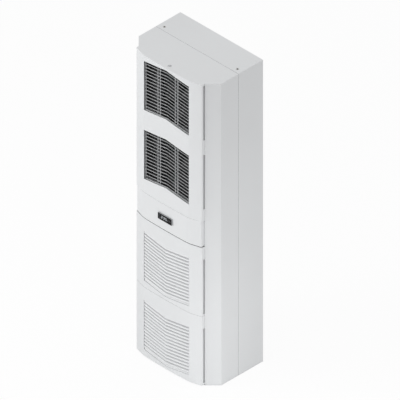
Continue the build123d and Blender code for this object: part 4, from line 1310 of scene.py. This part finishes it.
# %% Floor
FLOOR_REACH = 4
FLOOR_LEVEL = -0.0005  # just under the object, so that no two faces share a place
SEEN_WHITE = 0.9  # the camera's share of plain white, and the rest is the shaded floor
floor_mesh = bpy.data.meshes.new("floor")
floor_corners = [
    (x * FLOOR_REACH, y * FLOOR_REACH, FLOOR_LEVEL) for x, y in ((-1, -1), (1, -1), (1, 1), (-1, 1))
]
floor_mesh.from_pydata(floor_corners, [], [(0, 1, 2, 3)])
floor = bpy.data.objects.new("floor", floor_mesh)
scene.collection.objects.link(floor)
pale = bpy.data.materials.new("pale_floor")
pale.use_nodes = True
tree = pale.node_tree
tree.nodes.remove(tree.nodes["Principled BSDF"])
matt = result(tree, "ShaderNodeBsdfDiffuse", {"Color": (0.86, 0.86, 0.86, 1)})
white = result(tree, "ShaderNodeEmission", {"Color": (1, 1, 1, 1), "Strength": 1.02})
floor_ray = node(tree, "ShaderNodeLightPath")
seen = maths(tree, "MULTIPLY", floor_ray.outputs["Is Camera Ray"], SEEN_WHITE)
surface = result(tree, "ShaderNodeMixShader", {0: seen, 1: matt, 2: white})
tree.links.new(surface, tree.nodes["Material Output"].inputs["Surface"])
floor_mesh.materials.append(pale)
print("floor", 2 * FLOOR_REACH, "m wide")

# %% World
SKY = 0.62
world = bpy.data.worlds.new("studio")
scene.world = world
world.use_nodes = True
tree = world.node_tree
world_ray = node(tree, "ShaderNodeLightPath").outputs
mirrored = maths(tree, "ADD", world_ray["Is Glossy Ray"], world_ray["Is Transmission Ray"])
direct = maths(tree, "MINIMUM", maths(tree, "ADD", world_ray["Is Camera Ray"], mirrored), 1.0)
strength = result(tree, "ShaderNodeMapRange", {"Value": direct, "To Min": SKY, "To Max": 1.0})
tree.links.new(strength, tree.nodes["Background"].inputs["Strength"])
tree.nodes["Background"].inputs["Color"].default_value = (1, 1, 1, 1)
print("sky at", SKY, "of white for the object")


# %% Lamps
def lamp(name, place, aim_at, across, tall, watts):
    """A soft rectangular lamp that looks at a point."""
    light = bpy.data.lights.new(name, "AREA")
    light.shape = "RECTANGLE"
    light.size = across
    light.size_y = tall
    light.energy = watts
    thing = bpy.data.objects.new(name, light)
    thing.location = place
    thing.rotation_euler = (Vector(aim_at) - Vector(place)).to_track_quat("-Z", "Y").to_euler()
    scene.collection.objects.link(thing)


# Name, place, what it looks at, its width and height, and watts
lamp("front_left", (-2.2, -3.2, 2.0), (0, 0, 0.75), 2.0, 2.0, 48)
lamp("overhead", (0.3, 0.0, 3.6), (0, 0, 1.5), 1.4, 1.4, 6.6)
lamp("low_right", (1.9, -0.6, 0.25), (0.24, 0, 0.15), 1.2, 0.5, 3.0)
lamp("foot_right", (0.95, -0.75, 0.10), (0.22, -0.05, 0.05), 1.0, 0.18, 2.0)
